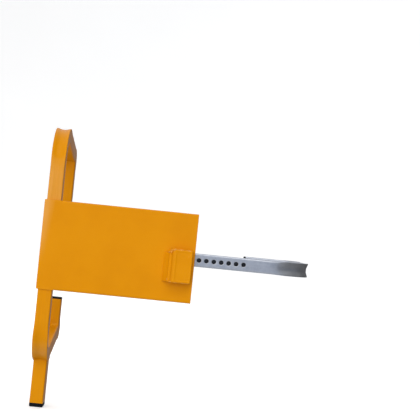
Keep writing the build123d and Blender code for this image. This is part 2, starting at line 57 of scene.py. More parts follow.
# ------------------------------------------------------------------ mesh helper
class Build:
    """Collects points in millimetres, welding those that coincide, and faces with UVs."""

    def __init__(self):
        self.verts, self.keys, self.faces, self.uvs, self.wear, self.inner = [], {}, [], [], [], []

    def p(self, co, wear=0.0, inner=0.0):
        k = (round(co[0], 3), round(co[1], 3), round(co[2], 3))
        i = self.keys.get(k)
        if i is None:
            i = len(self.verts)
            self.keys[k] = i
            self.verts.append((co[0] * MM, co[1] * MM, co[2] * MM))
            self.wear.append(wear)
            self.inner.append(inner)
        else:
            self.wear[i] = max(self.wear[i], wear)
            self.inner[i] = max(self.inner[i], inner)
        return i

    def face(self, idx, uv=None):
        if uv is None:
            uv = [(0.0, 0.0)] * len(idx)
        keep = [n for n in range(len(idx)) if idx[n] != idx[n - 1]]
        if len({idx[n] for n in keep}) < 3 or len(keep) != len({idx[n] for n in keep}):
            return
        self.faces.append([idx[n] for n in keep])
        self.uvs.append([uv[n] for n in keep])

    def make(self, name, body, mat, angle=38.0, replaces=(), weighted=True):
        me = bpy.data.meshes.new(name)
        me.from_pydata(self.verts, [], self.faces)
        layer = me.uv_layers.new(name="UVMap")
        flat = [c for face in self.uvs for uv in face for c in uv]
        layer.data.foreach_set("uv", flat)
        att = me.attributes.new("wear", "FLOAT", "POINT")
        att.data.foreach_set("value", self.wear)
        att = me.attributes.new("inner", "FLOAT", "POINT")
        att.data.foreach_set("value", self.inner)
        me.validate()
        bm = bmesh.new()
        bm.from_mesh(me)
        loose = [v for v in bm.verts if not v.link_faces]
        bmesh.ops.delete(bm, geom=loose, context="VERTS")
        bmesh.ops.recalc_face_normals(bm, faces=bm.faces[:])
        bm.to_mesh(me)
        bm.free()
        me.shade_smooth()
        me.set_sharp_from_angle(angle=math.radians(angle))
        me.materials.append(mat)
        ob = bpy.data.objects.new(name, me)
        bpy.context.scene.collection.objects.link(ob)
        if weighted:
            m = ob.modifiers.new("weighted", "WEIGHTED_NORMAL")
            m.keep_sharp = True
            m.weight = 60
        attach(ob, body)
        if replaces:
            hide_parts(*replaces)
        return ob


# ------------------------------------------------------------------ materials
def material(name):
    m = bpy.data.materials.new(name)
    m.use_nodes = True
    t = m.node_tree
    t.nodes.clear()
    out = t.nodes.new("ShaderNodeOutputMaterial")
    sh = t.nodes.new("ShaderNodeBsdfPrincipled")
    t.links.new(sh.outputs["BSDF"], out.inputs["Surface"])
    return m, t, sh


def node(t, kind, **kw):
    n = t.nodes.new(kind)
    for k, v in kw.items():
        if k.startswith("in_"):
            n.inputs[k[3:].replace("_", " ")].default_value = v
        else:
            setattr(n, k, v)
    return n


def tex(t, kind, coord, scale, detail=2.0, rough=0.5, distortion=0.0, stretch=None):
    n = t.nodes.new(kind)
    if "Scale" in n.inputs:
        n.inputs["Scale"].default_value = scale
    if "Detail" in n.inputs:
        n.inputs["Detail"].default_value = detail
    if "Roughness" in n.inputs:
        n.inputs["Roughness"].default_value = rough
    if "Distortion" in n.inputs:
        n.inputs["Distortion"].default_value = distortion
    if stretch:
        mp = t.nodes.new("ShaderNodeMapping")
        mp.inputs["Scale"].default_value = stretch
        t.links.new(coord, mp.inputs["Vector"])
        coord = mp.outputs["Vector"]
    t.links.new(coord, n.inputs["Vector"])
    return n


def ramp(t, fac, stops):
    r = t.nodes.new("ShaderNodeValToRGB")
    e = r.color_ramp.elements
    while len(e) < len(stops):
        e.new(0.5)
    for el, (pos, col) in zip(e, stops):
        el.position = pos
        el.color = (*col, 1) if isinstance(col, tuple) else (col, col, col, 1)
    t.links.new(fac, r.inputs["Fac"])
    return r.outputs["Color"]


def remap(t, fac, a, b, lo, hi):
    r = t.nodes.new("ShaderNodeMapRange")
    r.inputs["From Min"].default_value = a
    r.inputs["From Max"].default_value = b
    r.inputs["To Min"].default_value = lo
    r.inputs["To Max"].default_value = hi
    t.links.new(fac, r.inputs["Value"])
    return r.outputs["Result"]


def mix(t, fac, a, b, blend="MIX"):
    n = t.nodes.new("ShaderNodeMix")
    n.data_type = "RGBA"
    n.blend_type = blend
    if isinstance(fac, float):
        n.inputs["Factor"].default_value = fac
    else:
        t.links.new(fac, n.inputs["Factor"])
    for sock, val in ((n.inputs["A"], a), (n.inputs["B"], b)):
        pass
    for label, val in (("A", a), ("B", b)):
        sock = [s for s in n.inputs if s.name == label and s.type == "RGBA"][0]
        if isinstance(val, tuple):
            sock.default_value = (*val, 1)
        else:
            t.links.new(val, sock)
    return [s for s in n.outputs if s.type == "RGBA"][0]


def bump(t, height, strength, distance, normal=None):
    b = t.nodes.new("ShaderNodeBump")
    b.inputs["Strength"].default_value = strength
    b.inputs["Distance"].default_value = distance
    t.links.new(height, b.inputs["Height"])
    if normal is not None:
        t.links.new(normal, b.inputs["Normal"])
    return b.outputs["Normal"]


def math_node(t, op, a, b):
    n = t.nodes.new("ShaderNodeMath")
    n.operation = op
    for i, v in enumerate((a, b)):
        if isinstance(v, float):
            n.inputs[i].default_value = v
        else:
            t.links.new(v, n.inputs[i])
    return n.outputs[0]


def paint_material(name="amber_paint", level=0.22, tint=(1.0, 0.62, 0.12, 1.0), coat=0.10):
    """Amber powder coat: orange peel, slight cloudiness, lighter on edges (partly paint worn thin, partly a painted
    highlight), a little dust and rub, and a painted reflection streaked down the front leg, the plate's edge and the
    lower bend.
    """
    m, t, sh = material(name)
    co = t.nodes.new("ShaderNodeTexCoord").outputs["Object"]
    wear = node(t, "ShaderNodeAttribute", attribute_name="wear", attribute_type="GEOMETRY").outputs["Fac"]
    cloud = tex(t, "ShaderNodeTexNoise", co, 14.0, 3.0, 0.55)
    fine = tex(t, "ShaderNodeTexNoise", co, 900.0, 2.0, 0.6)
    peel = tex(t, "ShaderNodeTexNoise", co, 520.0, 1.5, 0.45)
    grit = tex(t, "ShaderNodeTexVoronoi", co, 230.0)
    col = ramp(t, cloud.outputs["Fac"], [(0.30, (0.715, 0.262, 0.0010)), (0.52, (0.745, 0.280, 0.0012)), (0.75, (0.760, 0.292, 0.0018))])
    col = mix(t, remap(t, fine.outputs["Fac"], 0.35, 0.7, 0.0, 0.10), col, (0.60, 0.205, 0.002))
    specks = remap(t, grit.outputs["Distance"], 0.035, 0.075, 0.35, 0.0)
    col = mix(t, specks, col, (0.52, 0.19, 0.004))
    # painted reflection: a paler, lighter sheen streaked down the front leg and the plate's edge by it, standing in
    # for a soft box's reflection
    sep = t.nodes.new("ShaderNodeSeparateXYZ")
    t.links.new(co, sep.inputs[0])
    cx, cy, cz = sep.outputs[0], sep.outputs[1], sep.outputs[2]
    on_plate = remap(t, math_node(t, "SUBTRACT", cx, math_node(t, "MULTIPLY", cz, 0.096)), -0.0205, -0.0045, 1.0, 0.0)
    on_leg = remap(t, cz, 0.0935, 0.0955, 0.0, 0.85)
    painted_sheen = math_node(t, "MAXIMUM", math_node(t, "MULTIPLY", on_plate, remap(t, cz, -0.040, 0.010, 0.0, 1.0)), on_leg)
    painted_sheen = math_node(t, "MULTIPLY", painted_sheen, remap(t, cy, -0.0275, -0.0285, 0.0, 1.0))
    painted_sheen = math_node(t, "MULTIPLY", painted_sheen, remap(t, cx, 0.020, 0.022, 1.0, 0.0))
    thin = tex(t, "ShaderNodeTexNoise", co, 60.0, 4.0, 0.6, 0.0, (2.2, 1.0, 0.35))
    painted_sheen = math_node(t, "MULTIPLY", painted_sheen, remap(t, thin.outputs["Fac"], 0.25, 0.75, 0.55, 1.0))
    painted_sheen = math_node(t, "MULTIPLY", painted_sheen, math_node(t, "MAXIMUM", remap(t, cz, 0.185, 0.150, 0.25, 1.0), remap(t, cz, 0.225, 0.240, 0.0, 0.9)))
    # painted reflection of the pale floor: a lighter band on the front of the lower bend, above the foot
    low = math_node(t, "MULTIPLY", remap(t, cz, -0.200, -0.225, 0.0, 0.55), remap(t, cz, -0.2515, -0.2495, 0.0, 1.0))
    low = math_node(t, "MULTIPLY", low, math_node(t, "MULTIPLY", remap(t, cy, 0.020, 0.002, 0.0, 1.0), remap(t, thin.outputs["Fac"], 0.25, 0.75, 0.4, 1.0)))
    painted_sheen = math_node(t, "MAXIMUM", painted_sheen, low)
    # the painted sheen colour is mixed in here
    col = mix(t, painted_sheen, col, (0.775, 0.352, 0.066))
    drawn = tex(t, "ShaderNodeTexNoise", co, 1.0, 3.0, 0.6, 0.0, (520.0, 520.0, 11.0))
    legs = math_node(t, "MULTIPLY", remap(t, cx, 0.0155, 0.0175, 1.0, 0.0), remap(t, math_node(t, "ABSOLUTE", cz, 0.0), 0.094, 0.096, 0.0, 1.0))
    col = mix(t, math_node(t, "MULTIPLY", legs, remap(t, drawn.outputs["Fac"], 0.42, 0.72, 0.0, 0.30)), col, (0.60, 0.235, 0.006))
    rub = tex(t, "ShaderNodeTexNoise", co, 260.0, 4.0, 0.65)
    edge = math_node(t, "MULTIPLY", wear, remap(t, rub.outputs["Fac"], 0.52, 0.66, 0.0, 1.0))
    # painted highlight, partly paint worn thin: lighter along corners, cut ends, folds and beads
    col = mix(t, math_node(t, "MULTIPLY", wear, 0.28), col, (0.80, 0.36, 0.02))
    col = mix(t, remap(t, edge, 0.55, 0.95, 0.0, 0.75), col, (0.30, 0.27, 0.25))
    t.links.new(col, sh.inputs["Base Color"])
    r = remap(t, cloud.outputs["Fac"], 0.3, 0.75, 0.30, 0.38)
    r = math_node(t, "ADD", r, remap(t, fine.outputs["Fac"], 0.3, 0.7, -0.03, 0.04))
    t.links.new(r, sh.inputs["Roughness"])
    sh.inputs["IOR"].default_value = 1.5
    sh.inputs["Specular IOR Level"].default_value = level
    sh.inputs["Specular Tint"].default_value = tint
    sh.inputs["Coat Weight"].default_value = coat
    sh.inputs["Coat Roughness"].default_value = 0.14
    sh.inputs["Coat IOR"].default_value = 1.45
    wave = tex(t, "ShaderNodeTexNoise", co, 26.0, 1.0, 0.4)
    n = bump(t, wave.outputs["Fac"], 0.20, 0.0010)
    n = bump(t, peel.outputs["Fac"], 0.22, 0.00022, n)
    n = bump(t, specks, 0.25, 0.00010, n)
    t.links.new(n, sh.inputs["Normal"])
    return m


def zinc_material():
    """Bluish zinc plate over drawn tube: long drawing marks, faint clouds, lighter edges (partly rubbed, partly a
    painted highlight), and painted shade inside the tube and on the hole walls.
    """
    m, t, sh = material("zinc_plated_steel")
    uv = node(t, "ShaderNodeUVMap", uv_map="UVMap").outputs["UV"]
    co = t.nodes.new("ShaderNodeTexCoord").outputs["Object"]
    wear = node(t, "ShaderNodeAttribute", attribute_name="wear", attribute_type="GEOMETRY").outputs["Fac"]
    streak = tex(t, "ShaderNodeTexNoise", uv, 1.0, 4.0, 0.62, 0.0, (9.0, 1500.0, 1.0))
    band = tex(t, "ShaderNodeTexNoise", uv, 1.0, 3.0, 0.5, 0.0, (5.0, 210.0, 1.0))
    cloud = tex(t, "ShaderNodeTexNoise", co, 75.0, 3.0, 0.6)
    spangle = tex(t, "ShaderNodeTexVoronoi", co, 420.0)
    col = ramp(t, cloud.outputs["Fac"], [(0.28, (0.500, 0.545, 0.635)), (0.52, (0.580, 0.628, 0.725)), (0.78, (0.655, 0.698, 0.780))])
    col = mix(t, remap(t, streak.outputs["Fac"], 0.40, 0.72, 0.0, 0.35), col, (0.430, 0.465, 0.535))
    col = mix(t, remap(t, band.outputs["Fac"], 0.45, 0.80, 0.0, 0.30), col, (0.720, 0.755, 0.815))
    # painted highlight, partly rubbed zinc: lighter along corners and ends
    col = mix(t, math_node(t, "MULTIPLY", wear, 0.35), col, (0.70, 0.71, 0.73))
    # painted shade: the tube's inner skin and the hole walls go near black
    inner = node(t, "ShaderNodeAttribute", attribute_name="inner", attribute_type="GEOMETRY").outputs["Fac"]
    col = mix(t, math_node(t, "MULTIPLY", inner, 0.92), col, (0.055, 0.060, 0.072))
    t.links.new(col, sh.inputs["Base Color"])
    sh.inputs["Metallic"].default_value = 1.0
    r = remap(t, streak.outputs["Fac"], 0.3, 0.75, 0.27, 0.44)
    r = math_node(t, "ADD", r, remap(t, cloud.outputs["Fac"], 0.3, 0.7, -0.04, 0.05))
    t.links.new(r, sh.inputs["Roughness"])
    sh.inputs["Anisotropic"].default_value = 0.25
    n = bump(t, streak.outputs["Fac"], 0.20, 0.00004)
    n = bump(t, band.outputs["Fac"], 0.25, 0.00018, n)
    n = bump(t, spangle.outputs["Distance"], 0.10, 0.00004, n)
    t.links.new(n, sh.inputs["Normal"])
    return m


def steel_material(name, base, rough, streaks=(1.0, 1.0, 40.0), metal=1.0):
    m, t, sh = material(name)
    co = t.nodes.new("ShaderNodeTexCoord").outputs["Object"]
    cut = tex(t, "ShaderNodeTexNoise", co, 260.0, 4.0, 0.6, 0.0, streaks)
    cloud = tex(t, "ShaderNodeTexNoise", co, 190.0, 3.0, 0.6)
    dark = tuple(c * 0.72 for c in base)
    lite = tuple(min(1.0, c * 1.12) for c in base)
    col = ramp(t, cloud.outputs["Fac"], [(0.3, dark), (0.52, base), (0.75, lite)])
    col = mix(t, remap(t, cut.outputs["Fac"], 0.45, 0.8, 0.0, 0.4), col, tuple(c * 0.6 for c in base))
    t.links.new(col, sh.inputs["Base Color"])
    sh.inputs["Metallic"].default_value = metal
    t.links.new(remap(t, cut.outputs["Fac"], 0.3, 0.75, rough - 0.06, rough + 0.10), sh.inputs["Roughness"])
    n = bump(t, cut.outputs["Fac"], 0.25, 0.00004)
    n = bump(t, cloud.outputs["Fac"], 0.20, 0.00008, n)
    t.links.new(n, sh.inputs["Normal"])
    return m


def plastic_material():
    """Moulded black polyethylene with a fine spark-eroded grain."""
    m, t, sh = material("black_plastic")
    co = t.nodes.new("ShaderNodeTexCoord").outputs["Object"]
    grain = tex(t, "ShaderNodeTexNoise", co, 2600.0, 2.0, 0.55)
    cloud = tex(t, "ShaderNodeTexNoise", co, 60.0, 3.0, 0.6)
    scuff = tex(t, "ShaderNodeTexNoise", co, 320.0, 4.0, 0.6, 0.0, (1.0, 6.0, 6.0))
    col = ramp(t, cloud.outputs["Fac"], [(0.3, (0.0030, 0.0040, 0.0065)), (0.7, (0.0055, 0.0070, 0.0105))])
    col = mix(t, remap(t, scuff.outputs["Fac"], 0.58, 0.75, 0.0, 0.4), col, (0.014, 0.015, 0.018))
    t.links.new(col, sh.inputs["Base Color"])
    t.links.new(remap(t, scuff.outputs["Fac"], 0.3, 0.75, 0.46, 0.60), sh.inputs["Roughness"])
    sh.inputs["Specular IOR Level"].default_value = 0.10
    n = bump(t, grain.outputs["Fac"], 0.35, 0.00006)
    t.links.new(n, sh.inputs["Normal"])
    return m


paint = paint_material()
bead_paint = paint_material("amber_paint_beads", 0.55, (1.0, 0.85, 0.60, 1.0), 0.9)
zinc = zinc_material()
plastic = plastic_material()
lock_steel = steel_material("lock_steel", (0.56, 0.56, 0.56), 0.30, (1.0, 40.0, 1.0))
lock_zinc = steel_material("lock_zinc", (0.62, 0.62, 0.64), 0.40, (1.0, 3.0, 3.0))
lock_brass = steel_material("lock_brass", (0.74, 0.55, 0.22), 0.28, (1.0, 30.0, 1.0))
bolt_steel = steel_material("bolt_steel", (0.56, 0.58, 0.61), 0.26, (1.0, 40.0, 1.0))
soft_edges = {"upper_hook_cap": 0.9, "lower_hook_cap": 0.9, "arm_hook_cap": 0.7, "foot_cap": 0.9, "arm_sleeve": 0.5, "lock_face_plate": 0.25, "lock_plug": 0.2}


def soften(ob, width):
    """Small rounded edges on a carried-over part; the outer size stays put."""
    w = ob.modifiers.new("weld", "WELD")
    w.merge_threshold = 1e-5
    m = ob.modifiers.new("edges", "BEVEL")
    m.width = width / 1000.0
    m.segments = 2
    m.limit_method = "ANGLE"
    m.angle_limit = math.radians(40.0)
    m.use_clamp_overlap = True
    n = ob.modifiers.new("weighted", "WEIGHTED_NORMAL")
    n.keep_sharp = True


by_slot = {
    "amber_paint": paint, "zinc_plated_steel": zinc, "black_plastic": plastic, "lock_steel": lock_steel,
    "lock_zinc": lock_zinc, "lock_brass": lock_brass, "bolt_steel": bolt_steel,
}

# every CAD node that stays gets its slot's finish
for entry in frame["record"]["subparts"]:
    ob = nodes[entry["node"]]
    ob.data.materials.clear()
    ob.data.materials.append(by_slot[entry["material_slot"]])
    if entry["node"] in soft_edges:
        soften(ob, soft_edges[entry["node"]])


# ------------------------------------------------------------------ swept square tubes
def section(half, r, nflat, ncorner):
    """Closed loop of (a, b, flat side or None) round a rounded square, from the middle of one corner round."""
    pts = []
    c = half - r
    sides = (((1, 0), (0, 1)), ((0, 1), (-1, 0)), ((-1, 0), (0, -1)), ((0, -1), (1, 0)))
    for k, ((nx, ny), (tx, ty)) in enumerate(sides):
        for i in range(nflat):
            s = -c + 2 * c * i / nflat
            pts.append((nx * half + tx * s, ny * half + ty * s, k if 0 < i else None))
        for i in range(ncorner):
            a = math.pi / 2 * i / ncorner
            n = (nx * math.cos(a) + tx * math.sin(a), ny * math.cos(a) + ty * math.sin(a))
            pts.append((nx * c + tx * c + n[0] * r, ny * c + ty * c + n[1] * r, None))
    return pts


class Path:
    """Straight runs and left-hand bends in a plane, as stations with a dent weight."""

    def __init__(self, start, direction):
        self.pos, self.dir, self.s = start, direction, 0.0
        self.st = []
        self.add(None, 0.0)

    def add(self, bend, w):
        t = self.dir
        self.st.append({"c": self.pos, "t": t, "n": (t[1], -t[0]), "s": self.s, "bend": bend, "w": w})

    def line(self, length, steps):
        p0, s0 = self.pos, self.s
        for k in range(1, steps + 1):
            d = length * k / steps
            self.pos = (p0[0] + self.dir[0] * d, p0[1] + self.dir[1] * d)
            self.s = s0 + d
            self.add(None, 0.0)

    def marks(self, lengths):
        p0, s0 = self.pos, self.s
        for d in lengths:
            self.pos = (p0[0] + self.dir[0] * d, p0[1] + self.dir[1] * d)
            self.s = s0 + d
            self.add(None, 0.0)

    def bend(self, radius, steps, tag, turn=90.0):
        t0 = self.dir
        centre = (self.pos[0] - t0[1] * radius, self.pos[1] + t0[0] * radius)
        a0 = math.atan2(self.pos[1] - centre[1], self.pos[0] - centre[0])
        s0 = self.s
        for k in range(1, steps + 1):
            a = math.radians(turn) * k / steps
            self.pos = (centre[0] + radius * math.cos(a0 + a), centre[1] + radius * math.sin(a0 + a))
            self.dir = (t0[0] * math.cos(a) - t0[1] * math.sin(a), t0[0] * math.sin(a) + t0[1] * math.cos(a))
            self.s = s0 + radius * a
            self.add(tag, 0.0)
        return s0, self.s


def sweep(b, path, to3d, half, wall, corner, nflat, dents, skip=None, seed=0.0, end_wear=0.8, flare=0.5):
    """Hollow square tube along a path. dents: (s0, s1, outer depth, inner depth) for each bend.
    skip(station index, outer?) says that the front wall's faces are left out there."""
    outer = section(half, corner, nflat, 5)
    inner = section(half - wall, 0.02, nflat, 1)
    per = [0.0]
    for j in range(len(outer)):
        a, c = outer[j], outer[(j + 1) % len(outer)]
        per.append(per[-1] + math.hypot(c[0] - a[0], c[1] - a[1]))

    def tag_big(s):
        return s > 500.0

    def place(st, a, n, is_outer):
        s = st["s"]
        lim = half - 1.6
        shape = max(0.0, 1 - (a / lim) ** 2) ** 1.15
        move = side = 0.0
        core = half - corner
        for s0, s1, d_out, d_in, f0, f1 in dents:
            w = smooth(s0 - f0[0], s0 + f0[1], s) * (1 - smooth(s1 - f1[1], s1 + f1[0], s))
            if w <= 0:
                continue
            if is_outer and n > core and abs(a) > core:
                # the outer corners are drawn sharper round the bend
                k = corner * 0.42 * w
                sx = 1 if a > 0 else -1
                ux, uy = (a - sx * core) / corner, (n - core) / corner
                a = sx * (core + k) + ux * (corner - k)
                n = core + k + uy * (corner - k)
            if n > half - wall - 0.6:
                move -= d_out * w * shape
            elif n < -(half - wall - 0.6):
                move += d_in * w * shape
            if abs(a) > half - wall - 0.6:
                q = max(0.0, min(1.0, (n + half) / (2 * half)))
                side += (flare + (0.9 if d_out < 2.7 and half > 14.5 and tag_big(s) else 0.0)) * w * q * q * (1 if a > 0 else -1)
        # rolled tube is never quite flat
        crown = 0.04 + 0.04 * lumps(s, a * 1.5, n, 45.0, seed)
        nn = n + move - (crown if n > 0 else -crown)
        aa = a + side
        c, nv = st["c"], st["n"]
        return to3d(c[0] + nv[0] * nn, c[1] + nv[1] * nn, aa)

    rows_o, rows_i = [], []
    last = len(path.st) - 1
    for i, st in enumerate(path.st):
        near = min(st["s"], path.st[-1]["s"] - st["s"])
        ro = []
        for (a, n, flat) in outer:
            # a corner point gets more wear and painted highlight than a flat one
            wear = 0.30 if flat is None else 0.0
            if near < 2.0:
                wear = end_wear
            ro.append(b.p(place(st, a, n, True), wear))
        # the inner skin carries the painted-shade mark
        ri = [b.p(place(st, a, n, False), 0.0, 1.0) for (a, n, flat) in inner]
        rows_o.append(ro)
        rows_i.append(ri)
    for i in range(last):
        s0, s1 = path.st[i]["s"] * MM, path.st[i + 1]["s"] * MM
        for rows, count, sk in ((rows_o, len(outer), "o"), (rows_i, len(inner), "i")):
            pts = outer if sk == "o" else inner
            for j in range(count):
                k = (j + 1) % count
                pa, pb = pts[j], pts[k]
                if skip and skip(i) and pa[1] > half - wall - 0.6 and pb[1] > half - wall - 0.6 and abs(pa[0] + pb[0]) / 2 < (half - corner if sk == "o" else half):
                    continue
                v0, v1 = (per[j] * MM, per[j + 1] * MM) if sk == "o" else (0.2, 0.21)
                b.face([rows[i][j], rows[i + 1][j], rows[i + 1][k], rows[i][k]], [(s0, v0), (s1, v0), (s1, v1), (s0, v1)])
    for i in (0, last):
        ends(b, rows_o[i], rows_i[i], outer, inner)
    return rows_o, rows_i


def ends(b, ro, ri, outer, inner):
    """Closes a tube's cut end between its outer and inner loops, matching points by angle."""
    def ang(p):
        return math.atan2(p[1], p[0]) % (2 * math.pi)
    oo = sorted(range(len(outer)), key=lambda j: ang(outer[j]))
    ii = sorted(range(len(inner)), key=lambda j: ang(inner[j]))
    i = j = 0
    no, ni = len(oo), len(ii)
    while i < no or j < ni:
        ao = ang(outer[oo[(i + 1) % no]]) + (2 * math.pi if i + 1 >= no else 0)
        ai = ang(inner[ii[(j + 1) % ni]]) + (2 * math.pi if j + 1 >= ni else 0)
        if j >= ni or (i < no and ao <= ai):
            b.face([ro[oo[i % no]], ro[oo[(i + 1) % no]], ri[ii[j % ni]]])
            i += 1
        else:
            b.face([ro[oo[i % no]], ri[ii[(j + 1) % ni]], ri[ii[j % ni]]])
            j += 1


def hole_tile(b, u0, u1, nu, v0, v1, nv, outline, to3d, depths, uv0=(0.0, 0.0), wear=0.5, inner=0.0):
    """Fills a rectangle round a hole. outline(k, n) gives the hole's points (u, v); depths: list of
    (outset from the hole's edge, depth). Returns the innermost loop."""
    rect = []
    for i in range(nu):
        rect.append((u0 + (u1 - u0) * i / nu, v0))
    for i in range(nv):
        rect.append((u1, v0 + (v1 - v0) * i / nv))
    for i in range(nu):
        rect.append((u1 - (u1 - u0) * i / nu, v1))
    for i in range(nv):
        rect.append((u0, v1 - (v1 - v0) * i / nv))
    n = len(rect)
    cu, cv = (u0 + u1) / 2, (v0 + v1) / 2
    hole = outline(rect)
    loops = [[(p[0], p[1], 0.0, 0.0) for p in rect]]
    first = depths[0][0]
    rim = [(h[0] + h[2] * first, h[1] + h[3] * first) for h in hole]
    for f in (0.35, 0.7):
        loops.append([(r[0] + (q[0] - r[0]) * f, r[1] + (q[1] - r[1]) * f, 0.0, 0.0) for r, q in zip(rect, rim)])
    for out, dep in depths:
        loops.append([(h[0] + h[2] * out, h[1] + h[3] * out, dep, wear) for h in hole])
    idx = [[b.p(to3d(p[0], p[1], p[2]), p[3] if inner == 0 else 0.0, inner) for p in loop] for loop in loops]
    for a in range(len(loops) - 1):
        for i in range(n):
            k = (i + 1) % n
            uv = [(uv0[0] + q[0] * MM, uv0[1] + q[1] * MM) for q in (loops[a][i], loops[a][k], loops[a + 1][k], loops[a + 1][i])]
            b.face([idx[a][i], idx[a][k], idx[a + 1][k], idx[a + 1][i]], uv)
    return idx[-1]


def circle_outline(cu, cv, r):
    def f(rect):
        out = []
        for (u, v) in rect:
            a = math.atan2(v - cv, u - cu)
            out.append((cu + r * math.cos(a), cv + r * math.sin(a), math.cos(a), math.sin(a)))
        return out
    return f


# ------------------------------------------------------------------ tyre bracket
# its top and bottom tubes draw together by 10 degrees towards the rear
RAKE = math.radians(10.0)
RAKE_CORNER = 175.0 + (60.0 - 200.0 * math.sin(RAKE)) / math.cos(RAKE)
HOOK_TAN = 25.0 * math.tan(math.radians(40.0))
RAKE_RUN = 260.0 / math.cos(RAKE) - HOOK_TAN - 60.0 * math.tan(math.radians(50.0))
b = Build()
path = Path((245.0, 60.0), (0.0, 1.0))
path.line(RAKE_CORNER - HOOK_TAN - 60.0, 12)
dents = []
s0, s1 = path.bend(25.0, 16, "hook", 80.0)
dents.append((s0, s1, 2.6, 1.4, (10, 12), (10, 12)))
path.line(RAKE_RUN, 17)
s0, s1 = path.bend(60.0, 32, "front", 100.0)
dents.append((s0, s1, 3.1, 1.6, (34, 2), (12, 22)))
path.line(350.0, 36)
s0, s1 = path.bend(60.0, 32, "front", 100.0)
FOOT_BEND_END = s1
dents.append((s0, s1, 2.6, 1.6, (12, 22), (14, 16)))
path.line(RAKE_RUN, 17)
s0, s1 = path.bend(25.0, 16, "hook", 80.0)
dents.append((s0, s1, 2.6, 1.4, (10, 12), (10, 12)))
path.line(RAKE_CORNER - HOOK_TAN - 127.0, 6)
sweep(b, path, lambda p, q, a: (a, p, q), 15.0, 2.5, 3.0, 12, dents, seed=1.7)
bracket = b.make("bracket_tube", "clamp_body", paint, replaces=("tyre_bracket",))

# ------------------------------------------------------------------ hook arm
HOLES = [408.3 - 15.7 * k for k in range(11)][::-1]
first, lastx = HOLES[0] - 7.85, HOLES[-1] + 7.85
b = Build()
path = Path((236.0, -13.0), (1.0, 0.0))
path.marks([(first - 236.0) * k / 3 for k in (1, 2, 3)])
tile_first = len(path.st) - 1
path.marks([15.7 / 8 * k for k in range(1, 11 * 8 + 1)])
tile_last = len(path.st) - 1
path.line(476.5 - lastx, 6)
s0, s1 = path.bend(60.0, 30, "front")
arm_dents = [(s0, s1, 4.0, 1.8, (12, 24), (36, 2))]
path.line(244.0 - 25.0 - (-13.0 + 60.0), 17)
s0, s1 = path.bend(25.0, 16, "hook")
arm_dents.append((s0, s1, 2.8, 1.5, (10, 12), (10, 12)))
path.line(536.5 - 25.0 - 425.0, 8)
sweep(b, path, lambda p, q, a: (p, q, -2.0 + a), 14.0, 2.5, 3.0, 8, arm_dents,
      skip=lambda i: tile_first <= i < tile_last, seed=4.1, flare=0.9)
for hx in HOLES:
    crown = lambda u, v, n: 0.04 + 0.04 * lumps(u - 236.0, (v + 2.0) * 1.5, n, 45.0, 4.1)
    front = hole_tile(b, hx - 7.85, hx + 7.85, 8, -13.0, 9.0, 8, circle_outline(hx, -2.0, 4.5),
                      lambda u, v, d: (u, -27.0 + d + crown(u, v, 14.0), v),
                      [(1.2, 0.0), (0.80, 0.06), (0.42, 0.20), (0.14, 0.48), (0.0, 0.90), (0.0, 2.3)], uv0=(-0.236, 0.030))
    # the hole's back loop carries the painted-shade mark, so the hole wall darkens inwards
    back = hole_tile(b, hx - 7.85, hx + 7.85, 8, -13.5, 9.5, 8, circle_outline(hx, -2.0, 4.5),
                     lambda u, v, d: (u, -24.5 - d + crown(u, v, 11.5), v),
                     [(0.3, 0.0), (0.0, 0.0)], inner=1.0)
    n = len(front)
    # the wall of the hole
    fr = [b.verts[i] for i in front]
    bk = [b.verts[i] for i in back]
    for i in range(n):
        k = (i + 1) % n
        b.face([front[i], front[k], back[k], back[i]], [(0, 0)] * 4)
arm = b.make("arm_tube", "arm", zinc, replaces=("hook_arm",))

# ------------------------------------------------------------------ face plate
def plate_x():
    xs = [(-19.0, 0.6), (-18.82, 0.17), (-18.4, 0.0), (-17.6, 0.0), (-17.0, 0.0)]
    xs += [(-15.0 + 3.0 * k, 0.0) for k in range(11)]
    xs += [(17.0, 0.0), (18.0, 0.0)]
    flanged = [(18.0, 0.0), (19.0, 0.0)] + [(19.0 + (272.7 - 19.0) * k / 22, 0.0) for k in range(1, 23)]
    flanged += [(272.7 + 2.5 * k, 0.0) for k in range(1, 9)]
    flanged += [(297.0, 0.0), (301.0, 0.0), (304.4, 0.0), (304.82, 0.17), (305.0, 0.6)]
    return [(x, i, False) for x, i in xs] + [(x, i, True) for x, i in flanged]


ZS = [-90.0 + (78.0) * k / 7 for k in range(7)] + [-12.0 + 2.5 * k for k in range(9)] + [8.0 + 82.0 * k / 7 for k in range(1, 8)]
RC = 0.6
CAP = [(math.sin(a), math.cos(a)) for a in (math.radians(22.5 * k) for k in range(5))]


